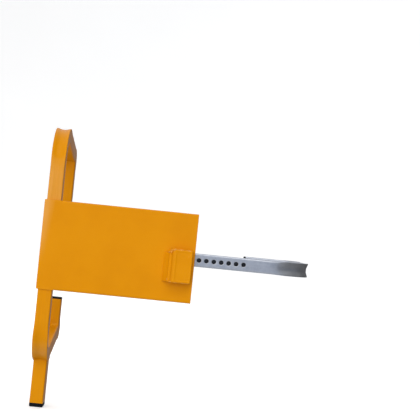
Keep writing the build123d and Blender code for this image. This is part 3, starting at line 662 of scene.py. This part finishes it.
def plate_station(x, ins, flanged):
    """(front points, lower cap, back points, upper cap) of the sheet's section at x."""
    zmax = 94.0 - ins
    if x < -17.0:
        zmax -= 2.0 - math.sqrt(max(0.0, 4.0 - (-17.0 - x) ** 2))
    bow = 1.05 * (max(0.0, 7.0 - x) / 26.0) ** 2
    mids = []
    for sgn in (-1, 1):
        part = []
        if flanged:
            for k in range(4):
                part.append((-15.0 - ins - RC - (14.0 - ins - RC) * k / 4, sgn * 92.5, 0.0, sgn * 1.0))
            for k in range(6):
                a = math.pi / 2 * k / 6
                part.append((-29.0 - 2.5 * math.sin(a), sgn * (90.0 + 2.5 * math.cos(a)), -math.sin(a), sgn * math.cos(a)))
        else:
            for k in range(4):
                part.append((-31.5, sgn * (zmax - RC), -1.0, 0.0))
            for k in range(6):
                part.append((-31.5, sgn * (zmax - RC - (zmax - RC - 90.0) * k / 6), -1.0, 0.0))
        mids.append(part)
    flat = [(-31.5, z if abs(z) < 89.9 or flanged else math.copysign(min(90.0, zmax - RC), z), -1.0, 0.0) for z in ZS]
    line = mids[0] + flat + mids[1][::-1]
    front, back = [], []
    for y, z, ny, nz in line:
        wave = 0.07 + 0.07 * lumps(x, z, y, 85.0, 3.3) + 0.03 * lumps(x, z, y, 22.0, 8.1)
        h = 1.5 - ins
        if ny < -0.9:
            front.append((x, y + ny * (h - bow) + wave, z + nz * h))
        else:
            front.append((x, y + ny * h + wave * 0.5, z + nz * (h - 0.04)))
        back.append((x, y - ny * h + (wave if ny < -0.9 else wave * 0.5), z - nz * h))
    caps = []
    for sgn, f, k in ((-1, front[0], 0), (1, front[-1], -1)):
        g = back[k]
        d = (0.0, 1.0) if flanged else (0.0 * sgn, 0.0)
        fy, fz, gy, gz = f[1], f[2], g[1], g[2]
        ln = math.hypot(gy - fy, gz - fz)
        ty, tz = (gy - fy) / ln, (gz - fz) / ln
        oy, oz = (1.0, 0.0) if flanged else (0.0, float(sgn))
        cap = []
        for s, c in CAP:
            cap.append((x, fy + ty * RC * (1 - c) + oy * RC * s, fz + tz * RC * (1 - c) + oz * RC * s))
        for s, c in CAP[::-1]:
            cap.append((x, gy - ty * RC * (1 - c) + oy * RC * s, gz - tz * RC * (1 - c) + oz * RC * s))
        caps.append(cap)
    return front, caps[0], back, caps[1]


b = Build()
stations = plate_x()
idx = []
for x, ins, flanged in stations:
    f, c0, g, c1 = plate_station(x, ins, flanged)
    # the sheet's ends, fold rounds and edge caps are marked lighter: a little wear and a painted highlight
    edge = 0.75 if (x < -18.0 or x > 304.0) else 0.0
    fi = [b.p(p, max(edge, 0.55 if 6 <= j < 9 or len(f) - 9 <= j < len(f) - 6 else 0.0)) for j, p in enumerate(f)]
    gi = [b.p(p, edge) for p in g]
    idx.append((fi, [b.p(p, 0.8) for p in c0], gi, [b.p(p, 0.8) for p in c1]))
nf = len(idx[0][0])
z_of = [p[2] for p in plate_station(100.0, 0.0, True)[0]]
for i in range(len(idx) - 1):
    (fa, ca, ga, da), (fb, cb, gb, db) = idx[i], idx[i + 1]
    x0, x1 = stations[i][0], stations[i + 1][0]
    for j in range(nf - 1):
        zm = (z_of[j] + z_of[j + 1]) / 2
        if x0 >= 272.6 and x1 <= 292.8 and -12.0 < zm < 8.0 and 10 <= j < nf - 10:
            continue
        b.face([fa[j], fb[j], fb[j + 1], fa[j + 1]])
        b.face([ga[j], ga[j + 1], gb[j + 1], gb[j]])
    for p, q in ((ca, cb), (da, db)):
        for j in range(len(p) - 1):
            b.face([p[j], q[j], q[j + 1], p[j + 1]])
for (f, c0, g, c1) in (idx[0], idx[-1]):
    for j in range(nf - 1):
        b.face([f[j], f[j + 1], g[j + 1], g[j]])
    b.face(c0)
    b.face(c1)


def plate_wave(x, z, y):
    return 0.07 + 0.07 * lumps(x, z, y, 85.0, 3.3) + 0.03 * lumps(x, z, y, 22.0, 8.1)


seat_f = hole_tile(b, 272.7, 292.7, 8, -12.0, 8.0, 8, circle_outline(282.7, -2.0, 7.0),
                   lambda u, v, d: (u, -33.0 + plate_wave(u, v, -31.5) + d, v), [(0.5, 0.0), (0.0, 0.0)])
seat_b = hole_tile(b, 272.7, 292.7, 8, -12.0, 8.0, 8, circle_outline(282.7, -2.0, 7.0),
                   lambda u, v, d: (u, -30.0 + plate_wave(u, v, -31.5) - d, v), [(0.5, 0.0), (0.0, 0.0)])
for i in range(len(seat_f)):
    k = (i + 1) % len(seat_f)
    b.face([seat_f[i], seat_f[k], seat_b[k], seat_b[i]])
plate = b.make("face_plate_sheet", "clamp_body", paint, replaces=("face_plate",))


# ------------------------------------------------------------------ lock box
BX0, BXS, BX1, BZ0, BZ1, BY0, BY1 = 240.5, 21.5 / 27.0, 299.5, -52.0, 16.5, -33.0, -60.0
BXM = 257.6                 # left wall of the box's square part, behind the sloping side
SIDE_Z = [-49.5 + 43.0 * k / 12 for k in range(13)]


def box_ring(y, inset, rc, thick=0.0, right=None, top=None, bottom=None):
    """Rounded outline of the box at depth y: points with the side's outward direction and position along it."""
    xl = max(BXM + thick, BX0 + (BY0 - y) * BXS + thick * 1.278) + inset
    xr = BX1 - (inset if right is None else right) - thick
    z0 = BZ0 + (inset if bottom is None else bottom) + thick
    z1 = BZ1 - (inset if top is None else top) - thick
    pts = []

    def corner(cx, cz, a0):
        for k in range(1, 5):
            a = a0 + math.pi / 2 * k / 5
            pts.append((cx + rc * math.cos(a), cz + rc * math.sin(a), math.cos(a), math.sin(a), "c"))

    lo, hi = z0 + rc, z1 - rc
    base = [BZ0 + 1.2] + SIDE_Z + [-2.5, 2.0, 6.5, 11.0, BZ1 - 1.2]
    for zz in base:
        f = (zz - base[0]) / (base[-1] - base[0])
        z = lo + (hi - lo) * f if (inset > 0.001 or thick > 0 or abs(rc - 1.2) > 1e-6) else zz
        if thick > 0 and inset < 0.001:
            z = zz if lo < zz < hi else (lo if zz <= lo else hi)
        pts.append((xr, z, 1.0, 0.0, "r"))
    corner(xr - rc, hi, 0.0)
    for k in range(13):
        pts.append((xr - rc + (xl + rc - xr + rc) * k / 12, z1, 0.0, 1.0, "t"))
    corner(xl + rc, hi, math.pi / 2)
    for k in range(17):
        pts.append((xl, hi + (lo - hi) * k / 16, -1.0, 0.0, "l"))
    corner(xl + rc, lo, math.pi)
    for k in range(13):
        pts.append((xl + rc + (xr - rc - xl - rc) * k / 12, z0, 0.0, -1.0, "b"))
    corner(xr - rc, lo, 1.5 * math.pi)
    return pts


def box_rings(thick):
    rings = []
    R = 3.5
    front = BY1 + thick
    ys = [BY0, -34.75, -36.5] + [-36.5 - 2.25 * k for k in range(1, 9)] + [-(60.0 - R)]
    if thick:
        ys[-1] = -56.0
    for y in ys:
        rings.append([(p[0], y, p[1], 0.0) for p in box_ring(y, 0.0, 1.2, thick)])
    if thick:
        rings.append([(p[0], front, p[1], 0.0) for p in box_ring(front, 0.0, 1.2, thick)])
        rings.append([(p[0], front, p[1], 0.0) for p in box_ring(front, 9.0, 1.2, thick)])
        return rings
    for k in range(1, 9):
        a = math.pi / 2 * k / 8
        y = -(60.0 - R) - R * math.sin(a)
        e = R * (1 - math.cos(a))
        # the end wall's edge is crisp: it turns only over the last part of the depth
        er = 1.3 * (1 - math.sqrt(max(0.0, 1 - max(0.0, (-58.7 - y) / 1.3) ** 2)))
        ring = []
        for px, pz, ox, oz, tag in box_ring(y, e, 1.2 + 1.5 * k / 8, right=er, top=e * 0.8, bottom=e * 0.8):
            # dressed weld along the upper, sloping and lower front edges
            lump = 0.55 + 0.75 * lumps(px, y, pz, 7.5, 5.0) + 0.35 * lumps(px, y, pz, 3.0, 9.0)
            amt = {"r": 0.0, "t": 0.35, "l": 0.30, "b": 0.55, "c": 0.15}[tag] * math.sin(2 * a) * lump
            # the dressed edge is marked a little lighter: wear and painted highlight
            ring.append((px + ox * math.cos(a) * amt, max(BY1 + 0.02, y - math.sin(a) * amt), pz + oz * math.cos(a) * amt, 0.15))
        rings.append(ring)
    for inset, dip in ((4.1, 0.06), (4.8, 0.30), (5.7, 0.55), (7.0, 0.62), (9.5, 0.58), (12.5, 0.50), (15.5, 0.46)):
        ring = []
        for px, pz, ox, oz, tag in box_ring(BY1, inset, 2.7, right=1.7 + (inset - 4.1) * 0.95, top=inset * 0.9, bottom=inset * 0.9):
            amp = 0.35 if tag == "r" else 1.0
            w = 0.10 * lumps(px, 0.0, pz, 9.0, 2.0)
            ring.append((px, BY1 + 0.02 + dip * amp + abs(w) * (1.0 if inset < 6 else 0.4), pz, 0.0))
        rings.append(ring)
    return rings


b = Build()
shells = []
for thick in (0.0, 2.5):
    rings = box_rings(thick)
    ids = [[b.p((p[0], p[1], p[2]), p[3], 1.0 if thick else 0.0) for p in ring] for ring in rings]
    n = len(ids[0])
    for i in range(len(ids) - 1):
        for j in range(n):
            k = (j + 1) % n
            z0, z1 = rings[2][j][2], rings[2][k][2]
            if 2 <= i < 10 and 1 <= j < 13:
                continue
            b.face([ids[i][j], ids[i][k], ids[i + 1][k], ids[i + 1][j]])
    b.face(ids[-1])
    shells.append((ids, rings))
n = len(shells[0][0][0])
for j in range(n):
    k = (j + 1) % n
    b.face([shells[0][0][0][j], shells[0][0][0][k], shells[1][0][0][k], shells[1][0][0][j]])


def slot_outline(rect):
    """Rounded slot 38 x 13, long way up, for points (y, z) of the surrounding rectangle."""
    out = []
    cy, cz, r, half = -45.5, -28.0, 6.5, 12.5
    for (y, z) in rect:
        if abs(z - cz) <= half:
            s = 1.0 if y > cy else -1.0
            if abs(y - cy) > 8.9:
                out.append((cy + s * r, z, s, 0.0))
                continue
        s = 1.0 if z > cz else -1.0
        dy, dz = y - cy, (z - cz) - s * half
        a = math.atan2(dz, dy)
        out.append((cy + r * math.cos(a), cz + s * half + r * math.sin(a), math.cos(a), math.sin(a)))
    return out


lip = hole_tile(b, -54.5, -36.5, 8, -49.5, -6.5, 12, slot_outline, lambda u, v, d: (BX1 - d, u, v),
                [(0.9, 0.0), (0.45, 0.08), (0.15, 0.30), (0.0, 0.65), (0.0, 2.3)], wear=0.9)
lip_in = hole_tile(b, -54.5, -36.5, 8, -49.5, -6.5, 12, slot_outline, lambda u, v, d: (BX1 - 2.5 + d, u, v), [(0.3, 0.0), (0.0, 0.0)], inner=1.0)
for i in range(len(lip)):
    k = (i + 1) % len(lip)
    b.face([lip[i], lip[k], lip_in[k], lip_in[i]])
lockbox = b.make("lock_box_shell", "clamp_body", paint, replaces=("lock_box",), angle=50.0)

# the sloping side: outline (x, y) of its outside from the plate up, with the dressed weld's ridge and toe
RAMP = [(240.5, -33.0), (241.1, -33.9), (242.3, -35.35), (244.0, -37.5), (246.0, -40.0), (248.0, -42.5), (249.8, -44.75), (250.9, -46.4),
        (251.5, -47.9), (252.2, -49.1), (253.2, -49.7), (254.2, -49.85), (255.2, -50.3), (256.2, -51.3), (257.2, -52.7), (258.6, -54.6)]


def ramp_out(i, z, zt, zb):
    x, y = RAMP[i]
    ridge = math.exp(-((i - 9.0) / 1.6) ** 2)
    low = math.exp(-((z + 48.5) / 3.0) ** 2)
    k = 0.35 + 0.75 * lumps(x * 0.2, y * 0.2, z, 8.0, 31.0) + 0.35 * lumps(x, y, z, 3.2, 33.0) + 0.9 * low
    flat = 0.14 * lumps(x, y, z, 24.0, 35.0)
    d = 0.75 * ridge * k + (flat if 0 < i < 15 else 0.0)
    return (x - 0.782 * d, y - 0.623 * d)


RZ = [-52.0, -51.65, -50.9, -49.8] + [-49.8 + 56.8 * k / 26 for k in range(1, 27)] + [8.2, 8.75, 9.0]
b = Build()
cols = []
for z in RZ:
    edge = min(z - RZ[0], RZ[-1] - z)
    r = 1.2 - math.sqrt(max(0.0, 1.44 - (1.2 - min(edge, 1.2)) ** 2))
    col = []
    for i in range(len(RAMP)):
        x, y = ramp_out(i, z, RZ[-1], RZ[0])
        col.append(b.p((x + 0.782 * r, min(-33.0, y + 0.623 * r), z), 0.3 if edge < 1.3 else 0.0))
    cols.append(col)
inner = []
for z in (RZ[0] + 2.5, RZ[-1] - 2.5):
    inner.append([b.p((x, y, z), 0.0, 1.0) for x, y in ((243.7, -33.0), (258.6, -51.7), (258.6, -33.0))])
for p, q in zip(cols, cols[1:]):
    for i in range(len(RAMP) - 1):
        b.face([p[i], p[i + 1], q[i + 1], q[i]])
for col, z in ((cols[0], RZ[0]), (cols[-1], RZ[-1])):
    back = b.p((258.6, -33.0, z))
    b.face(col + [back])
lo_back, hi_back = b.p((258.6, -33.0, RZ[0])), b.p((258.6, -33.0, RZ[-1]))
# open side against the box's square part, with the wall's thickness round the opening
(i0, i1, i2), (j0, j1, j2) = inner
b.face([i0, i1, j1, j0])
b.face([i0, i1, i2])
b.face([j0, j1, j2])
top_edge = [c[-1] for c in cols]
foot_edge = [c[0] for c in cols]
b.face(top_edge + [j1, i1])
b.face(foot_edge + [j0, i0])
b.face([cols[0][-1], lo_back, i2, i1])
b.face([cols[-1][-1], hi_back, j2, j1])
b.face([cols[0][0], lo_back, i2, i0])
b.face([cols[-1][0], hi_back, j2, j0])
flap = b.make("lock_box_slope", "clamp_body", paint, angle=50.0)


# ------------------------------------------------------------------ foot
def under(x, y):
    """Height of the bracket's drawn-in underside over (x, y)."""
    past = y - 45.0 - 75.0 * math.sin(RAKE)
    if past < 0.0:
        th = math.asin((45.0 - y) / 75.0)
        s = FOOT_BEND_END - 60.0 * (RAKE + th)
    else:
        th, s = -RAKE, FOOT_BEND_END + past / math.cos(RAKE)
    w = 1 - smooth(FOOT_BEND_END - 16, FOOT_BEND_END + 14, s)
    lim = 15.0 - 1.6
    d = 2.6 * w * max(0.0, 1 - (x / lim) ** 2) ** 1.15
    rise = 0.0
    if abs(x) > 12.0:
        rise = 3.0 - math.sqrt(max(0.0, 9.0 - (abs(x) - 12.0) ** 2))
    return -175.0 - (75.0 - d) * math.cos(th) + rise + max(0.0, past) * math.tan(RAKE)


def foot_loop(hx, y0, y1, r, nx=8, ny=12, nc=5):
    pts = []
    cs = ((hx - r, y1 - r, 0.0), (-hx + r, y1 - r, 90.0), (-hx + r, y0 + r, 180.0), (hx - r, y0 + r, 270.0))
    for q, (cx, cy, a0) in enumerate(cs):
        for k in range(nc + 1):
            a = math.radians(a0 + 90.0 * k / nc)
            pts.append((cx + r * math.cos(a), cy + r * math.sin(a)))
        nxt = cs[(q + 1) % 4]
        a = math.radians(a0 + 90.0)
        p0 = (cx + r * math.cos(a), cy + r * math.sin(a))
        p1 = (nxt[0] + r * math.cos(a), nxt[1] + r * math.sin(a))
        m = nx if q % 2 == 0 else ny
        for k in range(1, m):
            pts.append((p0[0] + (p1[0] - p0[0]) * k / m, p0[1] + (p1[1] - p0[1]) * k / m))
    return pts


b = Build()
loops = []
for z, ins in ((-340.0, 0.45), (-339.85, 0.15), (-339.4, 0.0), (-337.5, 0.0), (-334.0, 0.0)):
    # the foot's bottom rim is marked lighter: wear and painted highlight
    loops.append([(x, y, z, 0.7 if z < -339 else 0.0) for x, y in foot_loop(14.5 - ins, 30.0 + ins, 80.0 - ins, 3.0 - ins)])
for k in range(1, 9):
    z = -334.0 + 78.0 * k / 8
    ring = []
    for x, y in foot_loop(14.5, 30.0, 80.0, 3.0):
        w = 0.12 * lumps(x, y, z, 30.0, 6.0) - 0.12
        ring.append((x * (1 + w / 14.5), y + (w if y > 60 else -w if y < 50 else 0.0), z, 0.0))
    loops.append(ring)
loops.append([(x, y, under(x, y) + 0.25, 0.0) for x, y in foot_loop(14.5, 30.0, 80.0, 3.0)])
ids = [[b.p((p[0], p[1], p[2]), p[3]) for p in lp] for lp in loops]
inner_pts = foot_loop(12.0, 32.5, 77.5, 0.5)
inner_loops = [[(x, y, -340.0) for x, y in inner_pts], [(x, y, -300.0) for x, y in inner_pts], [(x, y, under(x, y) + 0.25) for x, y in inner_pts]]
iid = [[b.p(p, 0.0, 1.0) for p in lp] for lp in inner_loops]
n = len(ids[0])
for rows_ in (ids, iid):
    for i in range(len(rows_) - 1):
        for j in range(n):
            k = (j + 1) % n
            b.face([rows_[i][j], rows_[i][k], rows_[i + 1][k], rows_[i + 1][j]])
for a_, b_ in ((ids[0], iid[0]), (ids[-1], iid[-1])):
    for j in range(n):
        k = (j + 1) % n
        b.face([a_[j], a_[k], b_[k], b_[j]])
foot = b.make("foot_post", "clamp_body", paint, replaces=("foot_tube",))


# ------------------------------------------------------------------ weld beads
def resample(pts, step, closed=False):
    if closed:
        pts = pts + [pts[0]]
    out, carry = [Vector(pts[0])], 0.0
    for p, q in zip(pts, pts[1:]):
        p, q = Vector(p), Vector(q)
        ln = (q - p).length
        if ln < 1e-6:
            continue
        d = step - carry
        while d <= ln:
            out.append(p + (q - p) * (d / ln))
            d += step
        carry = ln - (d - step)
    if not closed:
        out.append(Vector(pts[-1]))
    return out


def weld(name, pts, r, closed=False, seed=0.0, pitch=2.3, rough=0.5, mat=None, swell=None):
    """Rippled bead along a seam, half sunk in the joint, with run-out ends."""
    b = Build()
    line = resample(pts, 0.55, closed)
    if closed and (line[0] - line[-1]).length < 0.3:
        line.pop()
    m = len(line)
    rows_ = []
    for i, c in enumerate(line):
        a = line[i - 1] if (i or closed) else c
        e = line[(i + 1) % m] if (i < m - 1 or closed) else c
        tdir = (e - a).normalized()
        ref = Vector((0.3, 0.7, 0.2)) if abs(tdir.dot(Vector((0.3, 0.7, 0.2)).normalized())) < 0.9 else Vector((1, 0, 0))
        u = tdir.cross(ref).normalized()
        v = tdir.cross(u).normalized()
        s = i * 0.55
        ph = (s / pitch + 0.25 * lumps(c.x, c.y, c.z, 6.0, seed)) % 1.0
        ripple = 0.07 * (1 - ph) + 0.05 * math.sin(ph * math.pi)
        rr = r * (0.92 + ripple + 0.24 * rough * lumps(c.x, c.y, c.z, 5.0, seed + 2) + 0.22 * (rough - 0.5) * lumps(c.x, c.y, c.z, 11.0, seed + 4))
        if swell:
            rr *= 1 + swell[0] * math.cos(2 * math.pi * (s - swell[2]) / swell[1])
        if not closed:
            t = min(i, m - 1 - i) * 0.55
            rr *= math.sqrt(max(0.02, min(1.0, t / (1.3 * r)))) if t < 1.3 * r else 1.0
        c2 = c + (u * lumps(c.x, c.y, c.z, 9.0, seed + 5) + v * lumps(c.x, c.y, c.z, 9.0, seed + 7)) * 0.25 * r
        # each bead is marked a little lighter: wear and painted highlight
        rows_.append([b.p(c2 + (u * math.cos(2 * math.pi * j / 12) + v * math.sin(2 * math.pi * j / 12)) * rr, 0.12) for j in range(12)])
    for i in range(m if closed else m - 1):
        k2 = (i + 1) % m
        for j in range(12):
            k = (j + 1) % 12
            b.face([rows_[i][j], rows_[i][k], rows_[k2][k], rows_[k2][j]])
    if not closed:
        b.face(rows_[0])
        b.face(rows_[-1])
    return b.make(name, "clamp_body", mat or paint, angle=60.0, weighted=False)


weld("weld_box_base", [(298.0, -33.3, -52.5), (241.5, -33.3, -52.5), (240.4, -33.3, -51.4), (240.4, -33.3, 8.2), (241.5, -33.3, 9.4), (256.0, -33.3, 9.4), (257.0, -33.3, 10.6), (257.0, -33.3, 15.8), (258.2, -33.3, 17.0), (298.0, -33.3, 17.0)], 1.15, seed=1.0)
weld("weld_box_top", [(258.0, -56.0, 15.1), (262.5, -57.4, 15.3), (297.5, -57.4, 15.3)], 2.1, seed=41.0, pitch=4.2, rough=1.0, mat=bead_paint, swell=(0.26, 15.0, 3.5))
weld("weld_box_step", [(249.9, -45.3, 7.6), (251.6, -47.6, 11.2), (253.6, -50.3, 13.7), (256.6, -53.9, 15.0), (260.4, -56.6, 15.3)], 2.35, seed=43.0, pitch=3.6, rough=0.8, mat=bead_paint)
weld("weld_box_fill", [(253.6, -50.2, 7.8), (255.2, -51.6, 10.4), (257.6, -54.2, 13.4)], 2.6, seed=45.0, pitch=3.9, rough=0.8, mat=bead_paint)
weld("weld_box_corner", [(250.9, -47.2, -49.6), (251.5, -48.0, -47.6), (251.9, -48.5, -44.8)], 1.9, seed=46.0, pitch=3.0, rough=0.8, mat=bead_paint)
weld("weld_box_bottom", [(254.0, -49.4, -50.7), (259.6, -55.8, -50.7), (264.0, -57.0, -50.7), (297.5, -57.2, -50.7)], 1.95, seed=47.0, pitch=4.6, rough=1.0, mat=bead_paint, swell=(0.20, 14.0, 4.0))
weld("weld_bracket_left", [(-15.6, -29.7, z) for z in (-90.0, 90.0)], 1.9, seed=2.0)
weld("weld_bracket_upper", [(15.6, -29.5, z) for z in (88.0, 17.5)], 1.9, seed=3.0)
weld("weld_bracket_lower", [(15.6, -29.5, z) for z in (-21.5, -88.0)], 1.9, seed=4.0)
weld("weld_sleeve_root", [(15.4, -26.0, 15.5), (15.4, 2.5, 15.5), (15.4, 4.5, 13.5), (15.4, 4.5, -17.5), (15.4, 2.5, -19.5), (15.4, -26.0, -19.5)], 1.8, seed=5.0)
for k, (x0, x1) in enumerate(((42.0, 76.0), (112.0, 148.0), (186.0, 221.0), (262.0, 296.0))):
    weld(f"weld_sleeve_top_{k}", [(x0, -29.6, 15.5), (x1, -29.6, 15.5)], 1.7, seed=6.0 + k)
    weld(f"weld_sleeve_bottom_{k}", [(x0 - 4, -29.6, -19.5), (x1 - 4, -29.6, -19.5)], 1.7, seed=11.0 + k)
weld("weld_foot", [(x, y, under(x, y) - 0.35) for x, y in foot_loop(14.35, 29.9, 80.1, 3.0, 16, 24, 6)], 1.35, closed=True, seed=20.0)

# ------------------------------------------------------------------ camera
cam_data = bpy.data.cameras.new("camera")
cam_data.sensor_width = 36.0
cam_data.lens = 113.4
cam_data.clip_start = 0.05
cam_data.clip_end = 60.0
cam = bpy.data.objects.new("camera", cam_data)
bpy.context.scene.collection.objects.link(cam)
pan, tilt, roll = math.radians(1.343), math.radians(1.035), math.radians(5.764)
fwd = Vector((math.sin(pan) * math.cos(tilt), math.cos(pan) * math.cos(tilt), math.sin(tilt)))
right = Vector((math.cos(pan), -math.sin(pan), 0.0))
up = right.cross(fwd)
cx = right * math.cos(roll) + up * math.sin(roll)
cy = -right * math.sin(roll) + up * math.cos(roll)
rot = Matrix((cx, cy, -fwd)).transposed()
cam.matrix_world = Matrix.Translation((0.2614, -2.8015, 0.0555)) @ rot.to_4x4()
bpy.context.scene.camera = cam

# ------------------------------------------------------------------ stage and light
bpy.context.scene.view_settings.view_transform = "Standard"
world = bpy.data.worlds.new("studio")
bpy.context.scene.world = world
world.use_nodes = True
wt = world.node_tree
wt.nodes.clear()
wout = wt.nodes.new("ShaderNodeOutputWorld")
bg = wt.nodes.new("ShaderNodeBackground")
wt.links.new(bg.outputs[0], wout.inputs[0])
d = wt.nodes.new("ShaderNodeTexCoord").outputs["Generated"]
sep = wt.nodes.new("ShaderNodeSeparateXYZ")
wt.links.new(d, sep.inputs[0])
# direction (x, y, z): dark behind the camera, soft boxes above and low on the left, pale behind the object
front_v = ramp(wt, remap(wt, sep.outputs["Z"], -1.0, 1.0, 0.0, 1.0),
               [(0.0, (0.62, 0.62, 0.62)), (0.32, (0.60, 0.61, 0.63)), (0.46, (0.52, 0.55, 0.62)), (0.56, (0.49, 0.53, 0.60)), (0.68, (0.58, 0.61, 0.66)), (0.80, (0.85, 0.85, 0.85)), (0.90, (0.8, 0.8, 0.8)), (1.0, (0.75, 0.75, 0.75))])
back_v = ramp(wt, remap(wt, sep.outputs["Z"], -1.0, 1.0, 0.0, 1.0),
              [(0.0, (0.60, 0.60, 0.60)), (0.40, (0.36, 0.36, 0.365)), (0.60, (0.34, 0.34, 0.345)), (0.80, (0.85, 0.85, 0.85)), (1.0, (1.0, 1.0, 1.0))])
side = ramp(wt, remap(wt, sep.outputs["X"], -1.0, 1.0, 0.0, 1.0),
            [(0.0, (1.05, 1.05, 1.04)), (0.45, (1.0, 1.0, 1.0)), (0.58, (0.95, 0.95, 0.95)), (0.74, (0.36, 0.34, 0.31)), (1.0, (0.36, 0.34, 0.31))])
inv = math_node(wt, "MULTIPLY", sep.outputs["Y"], -1.0)
is_front = remap(wt, inv, -0.25, 0.25, 0.0, 1.0)
win_u = math_node(wt, "MULTIPLY", remap(wt, sep.outputs["X"], -0.075, -0.150, 0.0, 1.0), remap(wt, sep.outputs["X"], -0.85, -0.70, 0.0, 1.0))
win_v = math_node(wt, "MULTIPLY", remap(wt, sep.outputs["Z"], -0.07, 0.01, 0.0, 1.0), remap(wt, sep.outputs["Z"], 0.34, 0.20, 0.0, 1.0))
win = math_node(wt, "MULTIPLY", math_node(wt, "MULTIPLY", win_u, win_v), is_front)
env = mix(wt, is_front, back_v, front_v)
env = mix(wt, 1.0, env, side, "MULTIPLY")
env = mix(wt, win, env, (1.5, 1.45, 1.4))
strip = math_node(wt, "MULTIPLY", remap(wt, sep.outputs["Z"], 0.50, 0.58, 0.0, 1.0), remap(wt, sep.outputs["Z"], 0.86, 0.80, 0.0, 1.0))
strip = math_node(wt, "MULTIPLY", strip, remap(wt, math_node(wt, "ABSOLUTE", math_node(wt, "ADD", sep.outputs["X"], 0.05), 0.0), 0.34, 0.20, 0.0, 1.0))
env = mix(wt, math_node(wt, "MULTIPLY", strip, is_front), env, (2.6, 2.5, 2.4))
wt.links.new(env, bg.inputs["Color"])
bg.inputs["Strength"].default_value = 1.0

floor_mat, ft, fsh = material("studio_floor")
fco = ft.nodes.new("ShaderNodeTexCoord").outputs["Object"]
fn = tex(ft, "ShaderNodeTexNoise", fco, 3.0, 3.0, 0.5)
ft.links.new(ramp(ft, fn.outputs["Fac"], [(0.3, 0.80), (0.7, 0.82)]), fsh.inputs["Base Color"])
fsh.inputs["Roughness"].default_value = 0.9
fsh.inputs["Emission Color"].default_value = (0.93, 0.95, 0.97, 1)
fsh.inputs["Emission Strength"].default_value = 0.42
bb = Build()
prof = [(0.0, 0.0), (2500.0, 0.0), (4200.0, 0.0)]
for k in range(1, 13):
    a = math.pi / 2 * k / 12
    prof.append((4200.0 + 2600.0 * math.sin(a), 2600.0 * (1 - math.cos(a))))
prof.append((6800.0, 6500.0))
N = 96
rows = []
for r, z in prof:
    rows.append([bb.p((250.0 + r * math.cos(2 * math.pi * j / N), 110.0 + r * math.sin(2 * math.pi * j / N), -348.6 + z)) for j in range(N)])
for i in range(len(rows) - 1):
    for j in range(N):
        k = (j + 1) % N
        bb.face([rows[i][j], rows[i][k], rows[i + 1][k], rows[i + 1][j]])
sm = bpy.data.meshes.new("studio_bowl")
sm.from_pydata(bb.verts, [], bb.faces)
sm.shade_smooth()
sm.materials.append(floor_mat)
bowl = bpy.data.objects.new("studio_bowl", sm)
bpy.context.scene.collection.objects.link(bowl)
bowl.visible_glossy = False
bowl.visible_diffuse = False
bowl.visible_shadow = False


def area(name, loc, target, size, energy, color=(1, 1, 1), size_y=None):
    li = bpy.data.lights.new(name, "AREA")
    li.shape = "RECTANGLE"
    li.size, li.size_y = size, size_y or size
    li.energy = energy
    li.color = color
    ob = bpy.data.objects.new(name, li)
    bpy.context.scene.collection.objects.link(ob)
    ob.location = loc
    ob.rotation_euler = (Vector(target) - Vector(loc)).to_track_quat("-Z", "Y").to_euler()
    return ob


key = area("key", (-0.1, -3.6, 1.2), (0.25, 0.0, 0.05), 3.0, 30.0, (1.0, 0.985, 0.965), 2.4)
fill = area("fill", (0.4, -3.8, -0.1), (0.25, 0.0, 0.05), 3.2, 31.0, (1.0, 0.985, 0.96))
back = area("back", (0.3, 3.6, 2.2), (0.25, 0.1, 0.0), 2.6, 60.0, (1.0, 1.0, 1.0))
for li in (key, fill, back):
    li.visible_glossy = False
